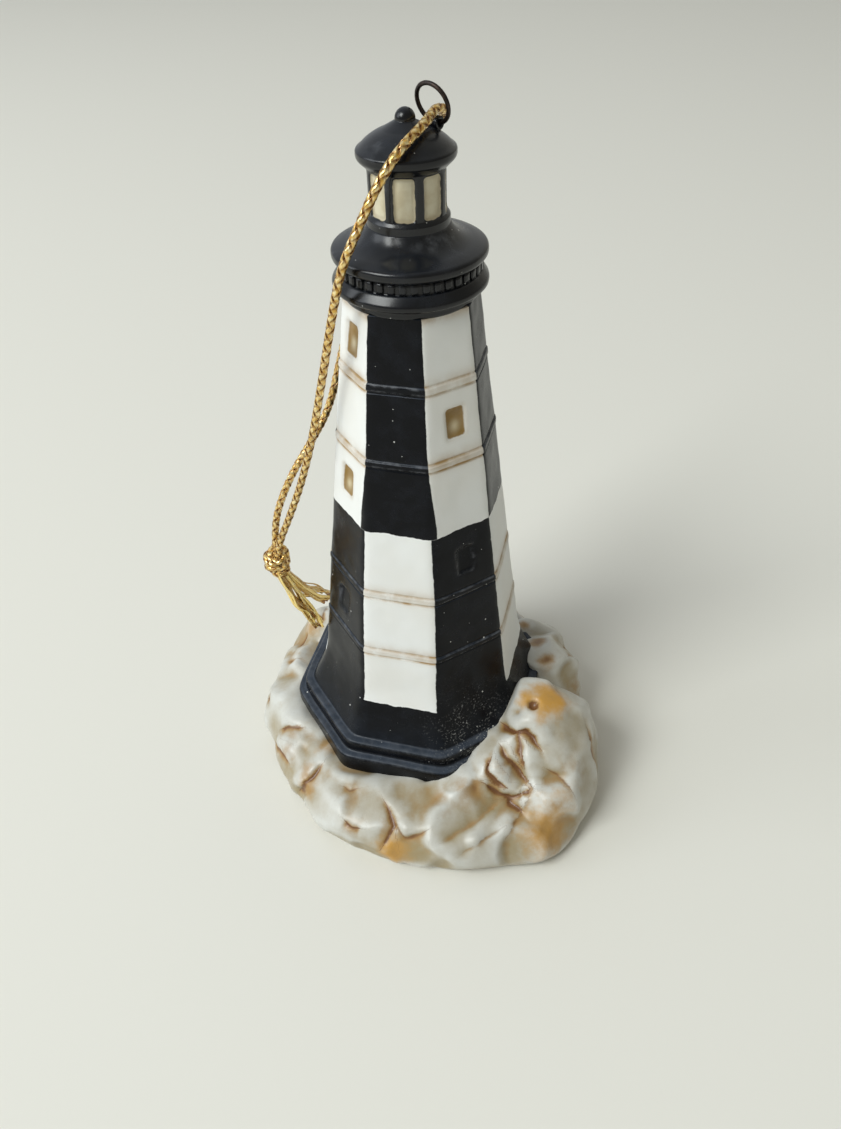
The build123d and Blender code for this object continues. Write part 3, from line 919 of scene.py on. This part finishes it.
def dentil_tree():
    """Small upright blocks set evenly round a circle, each facing outwards."""
    tree = bpy.data.node_groups.new("dentils", "GeometryNodeTree")
    sizes = add_inputs(
        tree,
        Count="NodeSocketInt",
        Circle="NodeSocketFloat",
        Level="NodeSocketFloat",
        Proud="NodeSocketFloat",
        Width="NodeSocketFloat",
        Height="NodeSocketFloat",
        Finish="NodeSocketMaterial",
    )
    flow = Flow(tree)
    ring = flow.add("GeometryNodeMeshCircle", values={"Vertices": sizes["Count"], "Radius": sizes["Circle"]})
    level = flow.add("ShaderNodeCombineXYZ", values={"Z": sizes["Level"]})
    raised = flow.add("GeometryNodeSetPosition", values={"Geometry": ring, "Offset": level})
    block = {"X": sizes["Proud"] * 2, "Y": sizes["Width"], "Z": sizes["Height"]}
    shape = {"Size": flow.add("ShaderNodeCombineXYZ", values=block), "Vertices Y": 4, "Vertices Z": 4}
    dentil = flow.add("GeometryNodeMeshCube", values=shape)
    turn = flow.add("GeometryNodeInputIndex") * (2 * math.pi) / sizes["Count"]
    facing = flow.add("ShaderNodeCombineXYZ", values={"Z": turn})
    places = {"Points": raised, "Instance": dentil, "Rotation": facing}
    end_tree(flow, flow.add("GeometryNodeInstanceOnPoints", values=places), sizes["Finish"])
    return tree


dentils = grown_piece(
    "gallery_cornice_dentils",
    placed("dentil_source", bpy.data.meshes.new("dentil_source")),
    dentil_tree(),
    Count=dentil_count,
    Circle=cornice_band_radius - dentil_sink,
    Level=(dentil_foot + cornice_high) / 2,
    Proud=dentil_proud,
    Width=dentil_width,
    Height=dentil_height,
    Finish=satin,
)
finish_piece(dentils, "figurine", "black_bisque")


# Gallery deck. A round plate with a rounded rim, whose top sweeps up to the lantern room's seat.
# It sits on the cornice in slip, and is the same satin black.
deck_low = cornice_high
deck_rim_radius = 11.2 * mm
deck_rim_height = 1.8 * mm
deck_height = 4.1 * mm
deck_lip = 0.5 * mm
deck_top = deck_low + deck_height
lantern_base_radius = 5.85 * mm


def swept(start, pull, end, steps=16):
    """Points of a curve from start to end that is drawn towards a third point."""
    start, pull, end = Vector(start), Vector(pull), Vector(end)
    shares = [step / steps for step in range(steps + 1)]
    return [tuple(start.lerp(pull, share).lerp(pull.lerp(end, share), share)) for share in shares]


deck_rim = rounded(
    [
        (0, deck_low - slip_overlap),
        (deck_rim_radius - 0.8 * mm, deck_low - slip_overlap),
        (deck_rim_radius, deck_low + 0.35 * mm),
        (deck_rim_radius, deck_low + deck_rim_height - 0.3 * mm),
        (deck_rim_radius - 1.6 * mm, deck_low + deck_rim_height + 0.25 * mm),
    ],
    0.8 * mm,
)
deck_sweep = swept(
    deck_rim[-1],
    (lantern_base_radius + 1.1 * mm, deck_low + deck_rim_height + 0.75 * mm),
    (lantern_base_radius, deck_top + deck_lip),
)
deck = turned_piece("gallery_deck_turned", deck_rim[:-1] + deck_sweep + [(0, deck_top + deck_lip)], satin)
finish_piece(deck, "figurine", "black_bisque", "gallery_deck")


# Lantern room. A hollow drum with a thicker base and eight sunk panes with rounded corners.
# The panes are left in a cream glaze and the frame round them is brushed black.
lantern_radius = 5.5 * mm
lantern_low = deck_top
lantern_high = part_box("roof_dome")[0].z
lantern_base_top = lantern_low + 1.5 * mm
drum_foot = lantern_low + 2.0 * mm
drum_sink = 0.6 * mm
drum_rise = 0.3 * mm
pane_count = 8
pane_turn = math.radians(10.0)
pane_half_width = 1.5 * mm
pane_low = lantern_low + 2.1 * mm
pane_high = lantern_low + 7.75 * mm
pane_depth = 0.35 * mm
pane_corner = 0.5 * mm
pane_columns = 32
lantern_row = 0.14 * mm


def make_lantern():
    """Rows of points round the drum, sunk at the panes."""
    columns = pane_count * pane_columns
    outline = rounded(
        [
            (lantern_base_radius, lantern_low - drum_sink),
            (lantern_base_radius, lantern_base_top),
            (lantern_radius, drum_foot),
            (lantern_radius, lantern_high + drum_rise),
        ],
        0.4 * mm,
    )
    rows = np.array(stepped(outline, lantern_row) + [outline[-1]])
    turn = np.broadcast_to(np.arange(columns) * 2 * math.pi / columns, (len(rows), columns))
    height = np.broadcast_to(rows[:, 1][:, None], turn.shape)
    reach = np.broadcast_to(rows[:, 0][:, None], turn.shape).copy()
    step = 2 * math.pi / pane_count
    along = (np.mod(turn - pane_turn + step / 2, step) - step / 2) * lantern_radius
    middle = (pane_low + pane_high) / 2
    out_up = np.abs(height - middle) - (pane_high - pane_low) / 2
    outside = rounded_box(np.abs(along) - pane_half_width, out_up, pane_corner)
    reach -= pane_depth / (1 + np.exp(np.clip(outside / (0.07 * mm), -40, 40)))
    points = around(turn, reach, height)
    faces = capped_faces(len(rows), columns)
    pane = (outside / mm).ravel()
    return make_piece("lantern_room_cast", points, faces, lantern_finish(), pane=pane)


def lantern_finish():
    material, shader, flow = start_finish("lantern_bisque")
    paint, gloss = black_bisque(flow, flow.grain(6 * mm, 2).rise(0.6, 0.8), turned_sheen)
    edge = flow.attribute("pane") + (flow.grain(0.9 * mm, 2) - 0.5) * 0.3
    pane = 1 - edge.rise(-0.05, 0.05)
    cloud = flow.grain(2.0 * mm, 3)
    glaze = flow.mix(cloud.rise(0.3, 0.7), colour(0.66, 0.61, 0.45), colour(0.55, 0.48, 0.32))
    # The glaze is darker towards the edges of each pane.
    darkened = flow.mix(edge.rise(-0.7, -0.05) * 0.55, glaze, colour(0.33, 0.27, 0.17))
    flow.feed(shader.inputs["Base Color"], flow.mix(pane, paint, darkened))
    flow.feed(shader.inputs["Roughness"], gloss * (1 - pane) + pane * 0.35)
    fine_bump(flow, shader, 0.15, flow.grain(0.6 * mm, 2))
    return material


lantern = make_lantern()
finish_piece(lantern, "figurine", "lantern_bisque", "lantern_room")


# Roof. A thick cap whose swollen eave rounds under into the drum, with a small pierced ear
# behind the ball for the hanging ring. It is satin black, a little worn, and paler on top with a painted
# sheen.
roof_low = lantern_high
eave_radius = 6.8 * mm
eave_height = 1.9 * mm
dome_rise = 3.15 * mm
dome_sphere = (eave_radius**2 + dome_rise**2) / (2 * dome_rise)
dome_foot = roof_low + eave_height
dome_centre = dome_foot + dome_rise - dome_sphere
dome_radii = np.arange(6.3, 0, -0.3) * mm


def dome_height(radius):
    return dome_centre + math.sqrt(dome_sphere**2 - radius**2)


roof_skin = [(radius, dome_height(radius)) for radius in dome_radii]
roof_outline = rounded(
    [
        (0, roof_low - slip_overlap),
        (lantern_radius - 0.1 * mm, roof_low - slip_overlap),
        (lantern_radius + 0.25 * mm, roof_low + 0.1 * mm),
        (eave_radius, roof_low + 1.1 * mm),
        (eave_radius, dome_foot + 0.2 * mm),
        roof_skin[0],
    ],
    1.0 * mm,
)
roof = turned_piece("roof_dome_turned", roof_outline + roof_skin[1:] + [(0, dome_foot + dome_rise)], satin)
finish_piece(roof, "figurine", "black_bisque", "roof_dome")

hinge = next(joint for joint in frame["record"]["behaviour"]["joints"] if joint["name"] == "ring_swing")
hinge_place = Vector(hinge["pos_m"])
hinge_axis = Vector(hinge["axis"]).normalized()
ear_hole = 0.45 * mm
ear_radius = 0.9 * mm
ear_thickness = 1.3 * mm


def spun(outline, place, axis, columns=48):
    """Points and faces of a closed outline of radius and length, turned about an axis through a place."""
    side = axis.orthogonal().normalized()
    other = axis.cross(side)
    points = []
    for column in range(columns):
        turn = 2 * math.pi * column / columns
        away = side * math.cos(turn) + other * math.sin(turn)
        points += [place + away * radius + axis * length for radius, length in outline]
    count = len(outline)
    faces = []
    for column in range(columns):
        here = column * count
        ahead = (column + 1) % columns * count
        for number in range(count):
            beside = (number + 1) % count
            faces.append((here + number, ahead + number, ahead + beside, here + beside))
    return points, faces


def oval(radius_middle, radius_half, length_half, sharpness=0.5, steps=20):
    """Closed outline like a rounded box."""
    outline = []
    for step in range(steps):
        turn = 2 * math.pi * step / steps
        out, along = math.cos(turn), math.sin(turn)
        outline.append(
            (
                radius_middle + radius_half * math.copysign(abs(out) ** sharpness, out),
                length_half * math.copysign(abs(along) ** sharpness, along),
            )
        )
    return outline


ear_outline = oval((ear_hole + ear_radius) / 2, (ear_radius - ear_hole) / 2, ear_thickness / 2)
ear_points, ear_faces = spun(ear_outline, hinge_place, hinge_axis)
ear = make_piece("roof_ear", ear_points, ear_faces, satin)
finish_piece(ear, "figurine", "black_bisque")


# Finial. A small ball on a short neck that is stuck into the top of the roof.
# It has the roof's satin black, and its neck spreads in a ring of slip.
ball_radius = 1.38 * mm
ball_low, ball_high = (corner.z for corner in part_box("finial_ball"))
ball_middle = ball_high - ball_radius
neck_foot_radius = 3.6 * mm
neck_radius = 1.9 * mm
neck_drop = 0.45 * mm
neck_sink = 0.05 * mm
ball_skin = [
    (ball_radius * math.cos(turn), ball_middle + ball_radius * math.sin(turn))
    for turn in np.linspace(math.radians(-6), math.radians(86), 22)
]
neck_skin = swept(
    (neck_foot_radius, dome_height(neck_foot_radius) - neck_sink),
    (neck_radius, ball_middle - neck_drop),
    ball_skin[0],
    14,
)
finial_outline = [(0, ball_low)] + neck_skin + ball_skin[1:] + [(0, ball_high)]
finial = turned_piece("finial_ball_turned", finial_outline, satin, 0.02 * mm, 64)
finish_piece(finial, "figurine", "black_bisque", "finial_ball")


# Hanging ring. A loose ring of dark iron wire, bent round until its ends meet in the ear.
# It swings in the ear, and the cord is threaded through it.
ring_radius = 2.6 * mm
wire_radius = 0.3 * mm
ring_lean = math.radians(17.0)
ring_heading = math.radians(-27.0)
ring_up = Vector(
    (
        math.sin(ring_heading) * math.sin(ring_lean),
        -math.cos(ring_heading) * math.sin(ring_lean),
        math.cos(ring_lean),
    )
)


def wire_finish():
    material, shader, flow = start_finish("dark_wire")
    patina = flow.grain(0.8 * mm, 4, 0.6)
    browned = flow.mix(patina.rise(0.4, 0.7), colour(0.018, 0.013, 0.012), colour(0.055, 0.035, 0.026))
    flow.feed(shader.inputs["Base Color"], browned)
    shader.inputs["Metallic"].default_value = 0.6
    flow.feed(shader.inputs["Roughness"], 0.3 + patina * 0.25)
    fine_bump(flow, shader, 0.2, flow.grain(0.25 * mm, 2))
    return material


wire_outline = [
    (ring_radius + wire_radius * math.cos(turn), wire_radius * math.sin(turn))
    for turn in np.linspace(0, 2 * math.pi, 14, endpoint=False)
]
ring_middle = hinge_place + ring_up * ring_radius
ring_points, ring_faces = spun(wire_outline, ring_middle, hinge_axis.cross(ring_up).normalized(), 120)
ring = make_piece("hanger_ring_wire", ring_points, ring_faces, wire_finish())
finish_piece(ring, "hanger", "dark_wire", "hanger_ring")


# Hanging cord. A round braid of six flat gilt strands, three each way, threaded through the ring.
# Both ends come down the left side of the tower into one knot, below which they fray.
strand_count = 6
strand_width = 0.9 * mm
strand_thickness = 0.25 * mm
strand_lay = 0.45 * mm
strand_weave = 0.07 * mm
braid_lead = 6.4 * mm
braid_step = 0.16 * mm
cord_route = [
    (-25.7, -5.9, 44.2),
    (-24.5, -6.1, 48.2),
    (-22.3, -6.3, 53.0),
    (-18.6, -6.9, 61.8),
    (-15.3, -7.6, 71.5),
    (-11.9, -8.7, 83.6),
    (-8.9, -10.1, 94.4),
    (-6.6, -11.1, 101.8),
    (-4.2, -10.6, 106.8),
    (-1.8, -9.4, 111.7),
    (0.3, -7.9, 115.2),
    (1.9, -5.7, 117.0),
    (2.9, -3.2, 117.8),
    (3.4, -0.4, 118.4),
    (3.6, 2.0, 118.75),
    (4.2, 4.0, 118.3),
    (4.0, 6.0, 117.2),
    (2.7, 7.8, 115.6),
    (0.4, 9.0, 113.3),
    (-2.9, 10.1, 109.3),
    (-6.4, 10.9, 103.9),
    (-9.0, 10.2, 97.6),
    (-11.6, 7.8, 89.0),
    (-13.8, 5.3, 80.0),
    (-16.0, 3.3, 71.0),
    (-19.2, 1.0, 65.2),
    (-22.4, -1.1, 60.0),
    (-25.2, -3.2, 53.6),
    (-26.3, -4.2, 48.4),
    (-26.6, -4.4, 44.2),
]


def spline_object(name, points, closed=False):
    """Smooth line drawn by control points in millimetres."""
    data = bpy.data.curves.new(name, "CURVE")
    data.dimensions = "3D"
    line = data.splines.new("NURBS")
    line.points.add(len(points) - 1)
    for spot, point in zip(line.points, points):
        spot.co = (*(Vector(point) * mm), 1)
    line.order_u = 3
    line.use_endpoint_u = not closed
    line.use_cyclic_u = closed
    line.resolution_u = 20
    return placed(name, data)


def copies_along(flow, line, count):
    """Copies of a line, with each copy's number and the directions across and along the line."""
    source = {"Geometry": line, "Amount": count}
    copied = flow.add("GeometryNodeDuplicateElements", {"domain": "SPLINE"}, source)
    number = Flow(flow.tree, copied.socket.node.outputs["Duplicate Index"])
    normal = flow.add("GeometryNodeInputNormal")
    tangent = flow.add("GeometryNodeInputTangent")
    side = flow.add("ShaderNodeVectorMath", {"operation": "CROSS_PRODUCT"}, {0: tangent, 1: normal})
    return copied, number, normal, side, tangent


def scaled(flow, vector, factor):
    return flow.add("ShaderNodeVectorMath", {"operation": "SCALE"}, {0: vector, "Scale": factor})


def moved(flow, line, *offsets):
    total = offsets[0]
    for offset in offsets[1:]:
        total = flow.add("ShaderNodeVectorMath", {"operation": "ADD"}, {0: total, 1: offset})
    return flow.add("GeometryNodeSetPosition", values={"Geometry": line, "Offset": total})


def carried(flow, line, outline):
    """Closed mesh of an outline that is carried along a line."""
    values = {"Curve": line, "Profile Curve": outline, "Fill Caps": True}
    return flow.add("GeometryNodeCurveToMesh", values=values)


def circle(flow, radius, sides):
    return flow.add("GeometryNodeCurvePrimitiveCircle", values={"Resolution": sides, "Radius": radius})


def noted(flow, line, name, value, kind="FLOAT"):
    """Line that carries a named value on its points, for the finish or a later node to read."""
    values = {"Geometry": line, "Name": name, "Value": value}
    return flow.add("GeometryNodeStoreNamedAttribute", {"data_type": kind}, values)


def braid_tree():
    """Strands wound both ways round a line, each passing over one and under the next, with painted shade
    noted for the finish under the crossings, along the strands' edges and on the core.
    """
    tree = bpy.data.node_groups.new("braid", "GeometryNodeTree")
    sizes = add_inputs(
        tree,
        Strands="NodeSocketInt",
        Width="NodeSocketFloat",
        Thickness="NodeSocketFloat",
        Lay="NodeSocketFloat",
        Weave="NodeSocketFloat",
        Lead="NodeSocketFloat",
        Step="NodeSocketFloat",
        Finish="NodeSocketMaterial",
    )
    flow = Flow(tree)
    even = flow.add(
        "GeometryNodeResampleCurve", {"mode": "LENGTH"}, {"Curve": sizes["Geometry"], "Length": sizes["Step"]}
    )
    line, number, normal, side, _ = copies_along(flow, even, sizes["Strands"])
    travelled = flow.add("GeometryNodeSplineParameter", out="Length")
    way = 1 - number.math("MODULO", 2) * 2
    pair = (number / 2).math("FLOOR")
    start = pair * (4 * math.pi) / sizes["Strands"]
    twist = travelled / sizes["Lead"] * (2 * math.pi)
    turn = twist * way + start
    over_under = (twist * (sizes["Strands"] / 2)).math("COSINE") * way
    reach = sizes["Lay"] + over_under * sizes["Weave"]
    out = scaled(flow, normal, turn.math("COSINE") * reach)
    over = scaled(flow, side, turn.math("SINE") * reach)
    away = flow.add("ShaderNodeVectorMath", {"operation": "ADD"}, {0: out, 1: over})
    # Painted shade: the finish darkens each strand where it passes under the strands wound the other way.
    shaded = noted(flow, line, "groove", 0.5 - over_under * 0.5)
    marked = noted(flow, shaded, "outward", away, "FLOAT_VECTOR")
    outward = flow.add("GeometryNodeInputNamedAttribute", {"data_type": "FLOAT_VECTOR"}, {"Name": "outward"})
    wound = flow.add("GeometryNodeSetPosition", values={"Geometry": marked, "Offset": away})
    faced = flow.add("GeometryNodeSetCurveNormal", {"mode": "FREE"}, {"Curve": wound, "Normal": outward})
    flat = flow.add("ShaderNodeCombineXYZ", values={"X": sizes["Thickness"], "Y": sizes["Width"], "Z": 1.0})
    sideways = flow.add("ShaderNodeSeparateXYZ", values={0: flow.add("GeometryNodeInputPosition")}, out="Y")
    # Painted shade along each flat strand's edges, where it meets its neighbours.
    edged = noted(flow, circle(flow, 0.5, 6), "strand_edge_shade", sideways.math("ABSOLUTE") * 2.3)
    strand = flow.add("GeometryNodeTransform", values={"Geometry": edged, "Scale": flat})
    core_outline = circle(flow, sizes["Lay"] - sizes["Thickness"] * 0.5, 8)
    # The core between the strands carries full painted shade.
    core = carried(flow, noted(flow, even, "groove", 1.0), core_outline)
    whole = flow.add("GeometryNodeJoinGeometry", values={0: carried(flow, faced, strand)})
    flow.feed(whole.socket.node.inputs[0], core)
    end_tree(flow, whole, sizes["Finish"])
    return tree


def gilt_finish():
    """Gold foil thread: bright metal, with painted shade where strands pass under others, along their edges
    and on the core, and painted light on loose threads.
    """
    material, shader, flow = start_finish("gold_cord")
    foil = flow.grain(0.5 * mm, 3, 0.6)
    tarnish = flow.grain(4 * mm, 2)
    gold = flow.mix(foil.rise(0.35, 0.7), colour(0.76, 0.46, 0.10), colour(1.0, 0.87, 0.50))
    groove = flow.attribute("groove")
    # Painted light: threads with a value below zero are brightened as if turned to the light.
    lit = 1 - groove.rise(-0.6, 0.0)
    darkened = flow.mix(tarnish.rise(0.45, 0.75) * 0.4, gold, colour(0.42, 0.22, 0.045))
    brightened = flow.mix(lit, darkened, colour(1.0, 0.77, 0.27))
    # Painted shade where a strand passes under the others and along the strands' edges.
    under = groove.rise(0.25, 0.92) * 0.94
    painted_seam_shade = under.math("MAXIMUM", flow.attribute("strand_edge_shade").rise(0.65, 1.05) * 0.75)
    flow.feed(shader.inputs["Base Color"], flow.mix(painted_seam_shade, brightened, colour(0.25, 0.085, 0.016)))
    flow.feed(shader.inputs["Metallic"], 0.7 - lit * 0.45)
    flow.feed(shader.inputs["Roughness"], 0.09 + foil * 0.17)
    fine_bump(flow, shader, 0.35, flow.grain(0.16 * mm, 2))
    return material


gilt = gilt_finish()
braid = braid_tree()
braid_sizes = dict(
    Strands=strand_count,
    Width=strand_width,
    Thickness=strand_thickness,
    Lay=strand_lay,
    Weave=strand_weave,
    Lead=braid_lead,
    Step=braid_step,
    Finish=gilt,
)
cord_line = spline_object("cord_line", cord_route)
cord_path = [tuple(vertex.co) for vertex in evaluated_mesh(cord_line).vertices]
cord = grown_piece("hanging_cord_braid", cord_line, braid, **braid_sizes)
finish_piece(cord, "figurine", "gold_cord", "hanging_cord")


# Knot. Both ends of the cord are tied together in one overhand knot, drawn tight.
# Its doubled turns lie across each other round the strands that run through it.
knot_centre = Vector((-26.2, -5.2, 42.4))
knot_rings = (
    ((0.2, 0.0, 1.2), 25, 10, 1.6),
    ((-0.2, 0.1, 0.0), 20, 100, 2.0),
    ((-0.2, 0.0, -1.2), -24, 40, 1.9),
    ((0.1, 0.0, -0.2), 66, -35, 2.0),
    ((0.0, 0.0, -0.4), 70, 50, 1.9),
    ((0.4, -0.2, -2.3), 12, 20, 1.2),
)
knot_cores = (
    ((0.4, -0.7, 2.6), (0.3, -0.5, 0.4), (0.5, -0.7, -1.6), (0.6, -0.9, -2.6)),
    ((-0.5, 0.8, 2.6), (-0.3, 0.4, 0.4), (0.6, 0.6, -1.4), (1.1, 0.9, -2.6)),
)


def knot_lines():
    """Control points of the knot's tilted turns, and of the strands through it."""
    lines = []
    for middle, tilt, heading, radius in knot_rings:
        place = (
            Matrix.Translation(knot_centre + Vector(middle))
            @ Matrix.Rotation(math.radians(heading), 4, "Z")
            @ Matrix.Rotation(math.radians(tilt), 4, "X")
        )
        turns = [2 * math.pi * number / 12 for number in range(12)]
        lines.append(([place @ Vector((radius * math.cos(a), radius * math.sin(a), 0)) for a in turns], True))
    for core in knot_cores:
        lines.append(([knot_centre + Vector(point) for point in core], False))
    return lines


def joined(name, pieces):
    """One mesh piece out of several."""
    shape = bmesh.new()
    for piece in pieces:
        shape.from_mesh(piece.data)
    mesh = pieces[0].data.copy()
    mesh.name = name
    shape.to_mesh(mesh)
    shape.free()
    for piece in pieces:
        bpy.data.objects.remove(piece)
    return placed(name, mesh)


knot_parts = []
for number, (points, closed) in enumerate(knot_lines()):
    line = spline_object(f"knot_line_{number}", points, closed)
    knot_parts.append(grown_piece(f"knot_part_{number}", line, braid, **braid_sizes))
knot = joined("cord_knot_tied", knot_parts)
finish_piece(knot, "figurine", "gold_cord", "cord_knot")


# Frayed tails. Below the knot the braid has come undone into loose flat threads of foil.
# The front tail bellies out and narrows to a cut tip by the tower's edge. The other passes behind it.
front_tail = ((-25.7, -6.1, 40.4), (-23.6, -6.6, 36.6), (-21.3, -6.6, 32.2), (-18.9, -6.1, 27.6))
back_tail = ((-25.4, -5.0, 40.0), (-23.6, -4.4, 36.2), (-21.4, -1.8, 32.2), (-19.0, 1.5, 28.2))
thread_count = 18
thread_width = 0.46 * mm
thread_thickness = 0.2 * mm
tail_root = 0.9 * mm
tail_belly = 0.45 * mm
tail_curl = 0.4 * mm
tail_forms = {
    "cord_tail_front": (front_tail, 0.8 * mm, 3),
    "cord_tail_back": (back_tail, 1.5 * mm, 8),
}


def fray_tree():
    """Loose threads that follow a line, spread towards its end and are cut to uneven lengths."""
    tree = bpy.data.node_groups.new("fray", "GeometryNodeTree")
    sizes = add_inputs(
        tree,
        Threads="NodeSocketInt",
        Width="NodeSocketFloat",
        Thickness="NodeSocketFloat",
        Root="NodeSocketFloat",
        Tip="NodeSocketFloat",
        Belly="NodeSocketFloat",
        Curl="NodeSocketFloat",
        Seed="NodeSocketInt",
        Finish="NodeSocketMaterial",
    )
    flow = Flow(tree)
    even = flow.add("GeometryNodeResampleCurve", {"mode": "COUNT"}, {"Curve": sizes["Geometry"], "Count": 18})
    line, number, normal, side, tangent = copies_along(flow, even, sizes["Threads"])
    share = flow.add("GeometryNodeSplineParameter", out="Factor")

    def chance(low, high, shift):
        values = {2: low, 3: high, "ID": number, "Seed": sizes["Seed"] + shift}
        return flow.add("FunctionNodeRandomValue", {"data_type": "FLOAT"}, values, 1)

    turn = chance(0.0, 2 * math.pi, 1)
    reach = chance(0.15, 1.0, 2).math("SQRT")
    belly = (share * math.pi).math("SINE") * sizes["Belly"]
    spread = sizes["Root"] + (sizes["Tip"] - sizes["Root"]) * share.math("POWER", 1.2) + belly
    wave = (share * chance(6.0, 14.0, 3) + turn * 3).math("SINE") * share * sizes["Curl"]
    out = scaled(flow, normal, turn.math("COSINE") * reach * spread + wave)
    over = scaled(flow, side, turn.math("SINE") * reach * spread * 0.6 + wave * 0.6)
    short = scaled(flow, tangent, share * chance(-3.2 * mm, 0.6 * mm, 4))
    # Each thread gets a random value for the finish: below zero it is brightened as painted light, above zero
    # darkened as painted shade, and the cut tips are darker.
    shaded = noted(flow, line, "groove", chance(-1.0, 0.65, 6) + share.rise(0.88, 1.0) * 0.7)
    loose = moved(flow, shaded, out, over, short)
    tilted = flow.add("GeometryNodeSetCurveTilt", values={"Curve": loose, "Tilt": chance(0.0, math.pi, 5)})
    outline = {"Width": sizes["Width"], "Height": sizes["Thickness"]}
    ribbon = flow.add("GeometryNodeCurvePrimitiveQuadrilateral", values=outline)
    end_tree(flow, carried(flow, tilted, ribbon), sizes["Finish"])
    return tree


fray = fray_tree()
for name, (points, tip, seed) in tail_forms.items():
    line = spline_object(name + "_line", points)
    tail = grown_piece(
        name + "_frayed",
        line,
        fray,
        Threads=thread_count,
        Width=thread_width,
        Thickness=thread_thickness,
        Root=tail_root,
        Tip=tip,
        Belly=tail_belly,
        Curl=tail_curl,
        Seed=seed,
        Finish=gilt,
    )
    finish_piece(tail, "figurine", "gold_cord", name)


# Stage. A plain pale floor, a large soft lamp to the left in front and a fainter one at the left.
# The sky is pale, brighter behind on the left and warmer on the right, where the shadow falls.
floor_side = 4.0


def floor_finish():
    material, shader, flow = start_finish("pale_floor")
    flow.feed(shader.inputs["Base Color"], colour(0.80, 0.79, 0.73))
    shader.inputs["Roughness"].default_value = 0.9
    return material


half = floor_side / 2
corners = [(-half, -half, 0), (half, -half, 0), (half, half, 0), (-half, half, 0)]
floor = make_piece("floor", corners, [(0, 1, 2, 3)], floor_finish())


def area_lamp(name, place, target, side, power, tint):
    data = bpy.data.lights.new(name, "AREA")
    data.size = side
    data.energy = power
    data.color = tint
    lamp = placed(name, data)
    lamp.location = place
    lamp.rotation_euler = (Vector(target) - Vector(place)).to_track_quat("-Z", "Y").to_euler()


target = (0, 0, 50 * mm)
sky_level = 0.27
bright_level = 0.30
cool_sky = colour(0.93, 0.97, 1.0)
warm_sky = colour(0.96, 0.93, 0.80)
bright_side = (-0.55, 0.75, 0.35)
area_lamp("key", (-0.75, -0.90, 1.20), target, side=0.75, power=19.2, tint=(0.97, 1.0, 0.98))
area_lamp("side", (-1.60, -0.50, 0.90), target, side=1.0, power=8.0, tint=(0.88, 0.94, 1.0))
world = bpy.data.worlds.new("sky")
world.use_nodes = True
sky = Flow(world.node_tree)
sky_shader = world.node_tree.nodes["Background"]
ways = {0: sky.add("ShaderNodeTexCoord", out="Generated"), 1: bright_side}
towards = sky.add("ShaderNodeVectorMath", {"operation": "DOT_PRODUCT"}, ways, "Value")
to_right = sky.add("ShaderNodeSeparateXYZ", values={0: ways[0]}, out="X")
sky.feed(sky_shader.inputs["Color"], sky.mix(to_right.rise(-0.5, 0.6), cool_sky, warm_sky))
sky.feed(sky_shader.inputs["Strength"], sky_level + towards.rise(-0.2, 0.9) * bright_level)
bpy.context.scene.world = world
bpy.context.scene.view_settings.view_transform = "Standard"
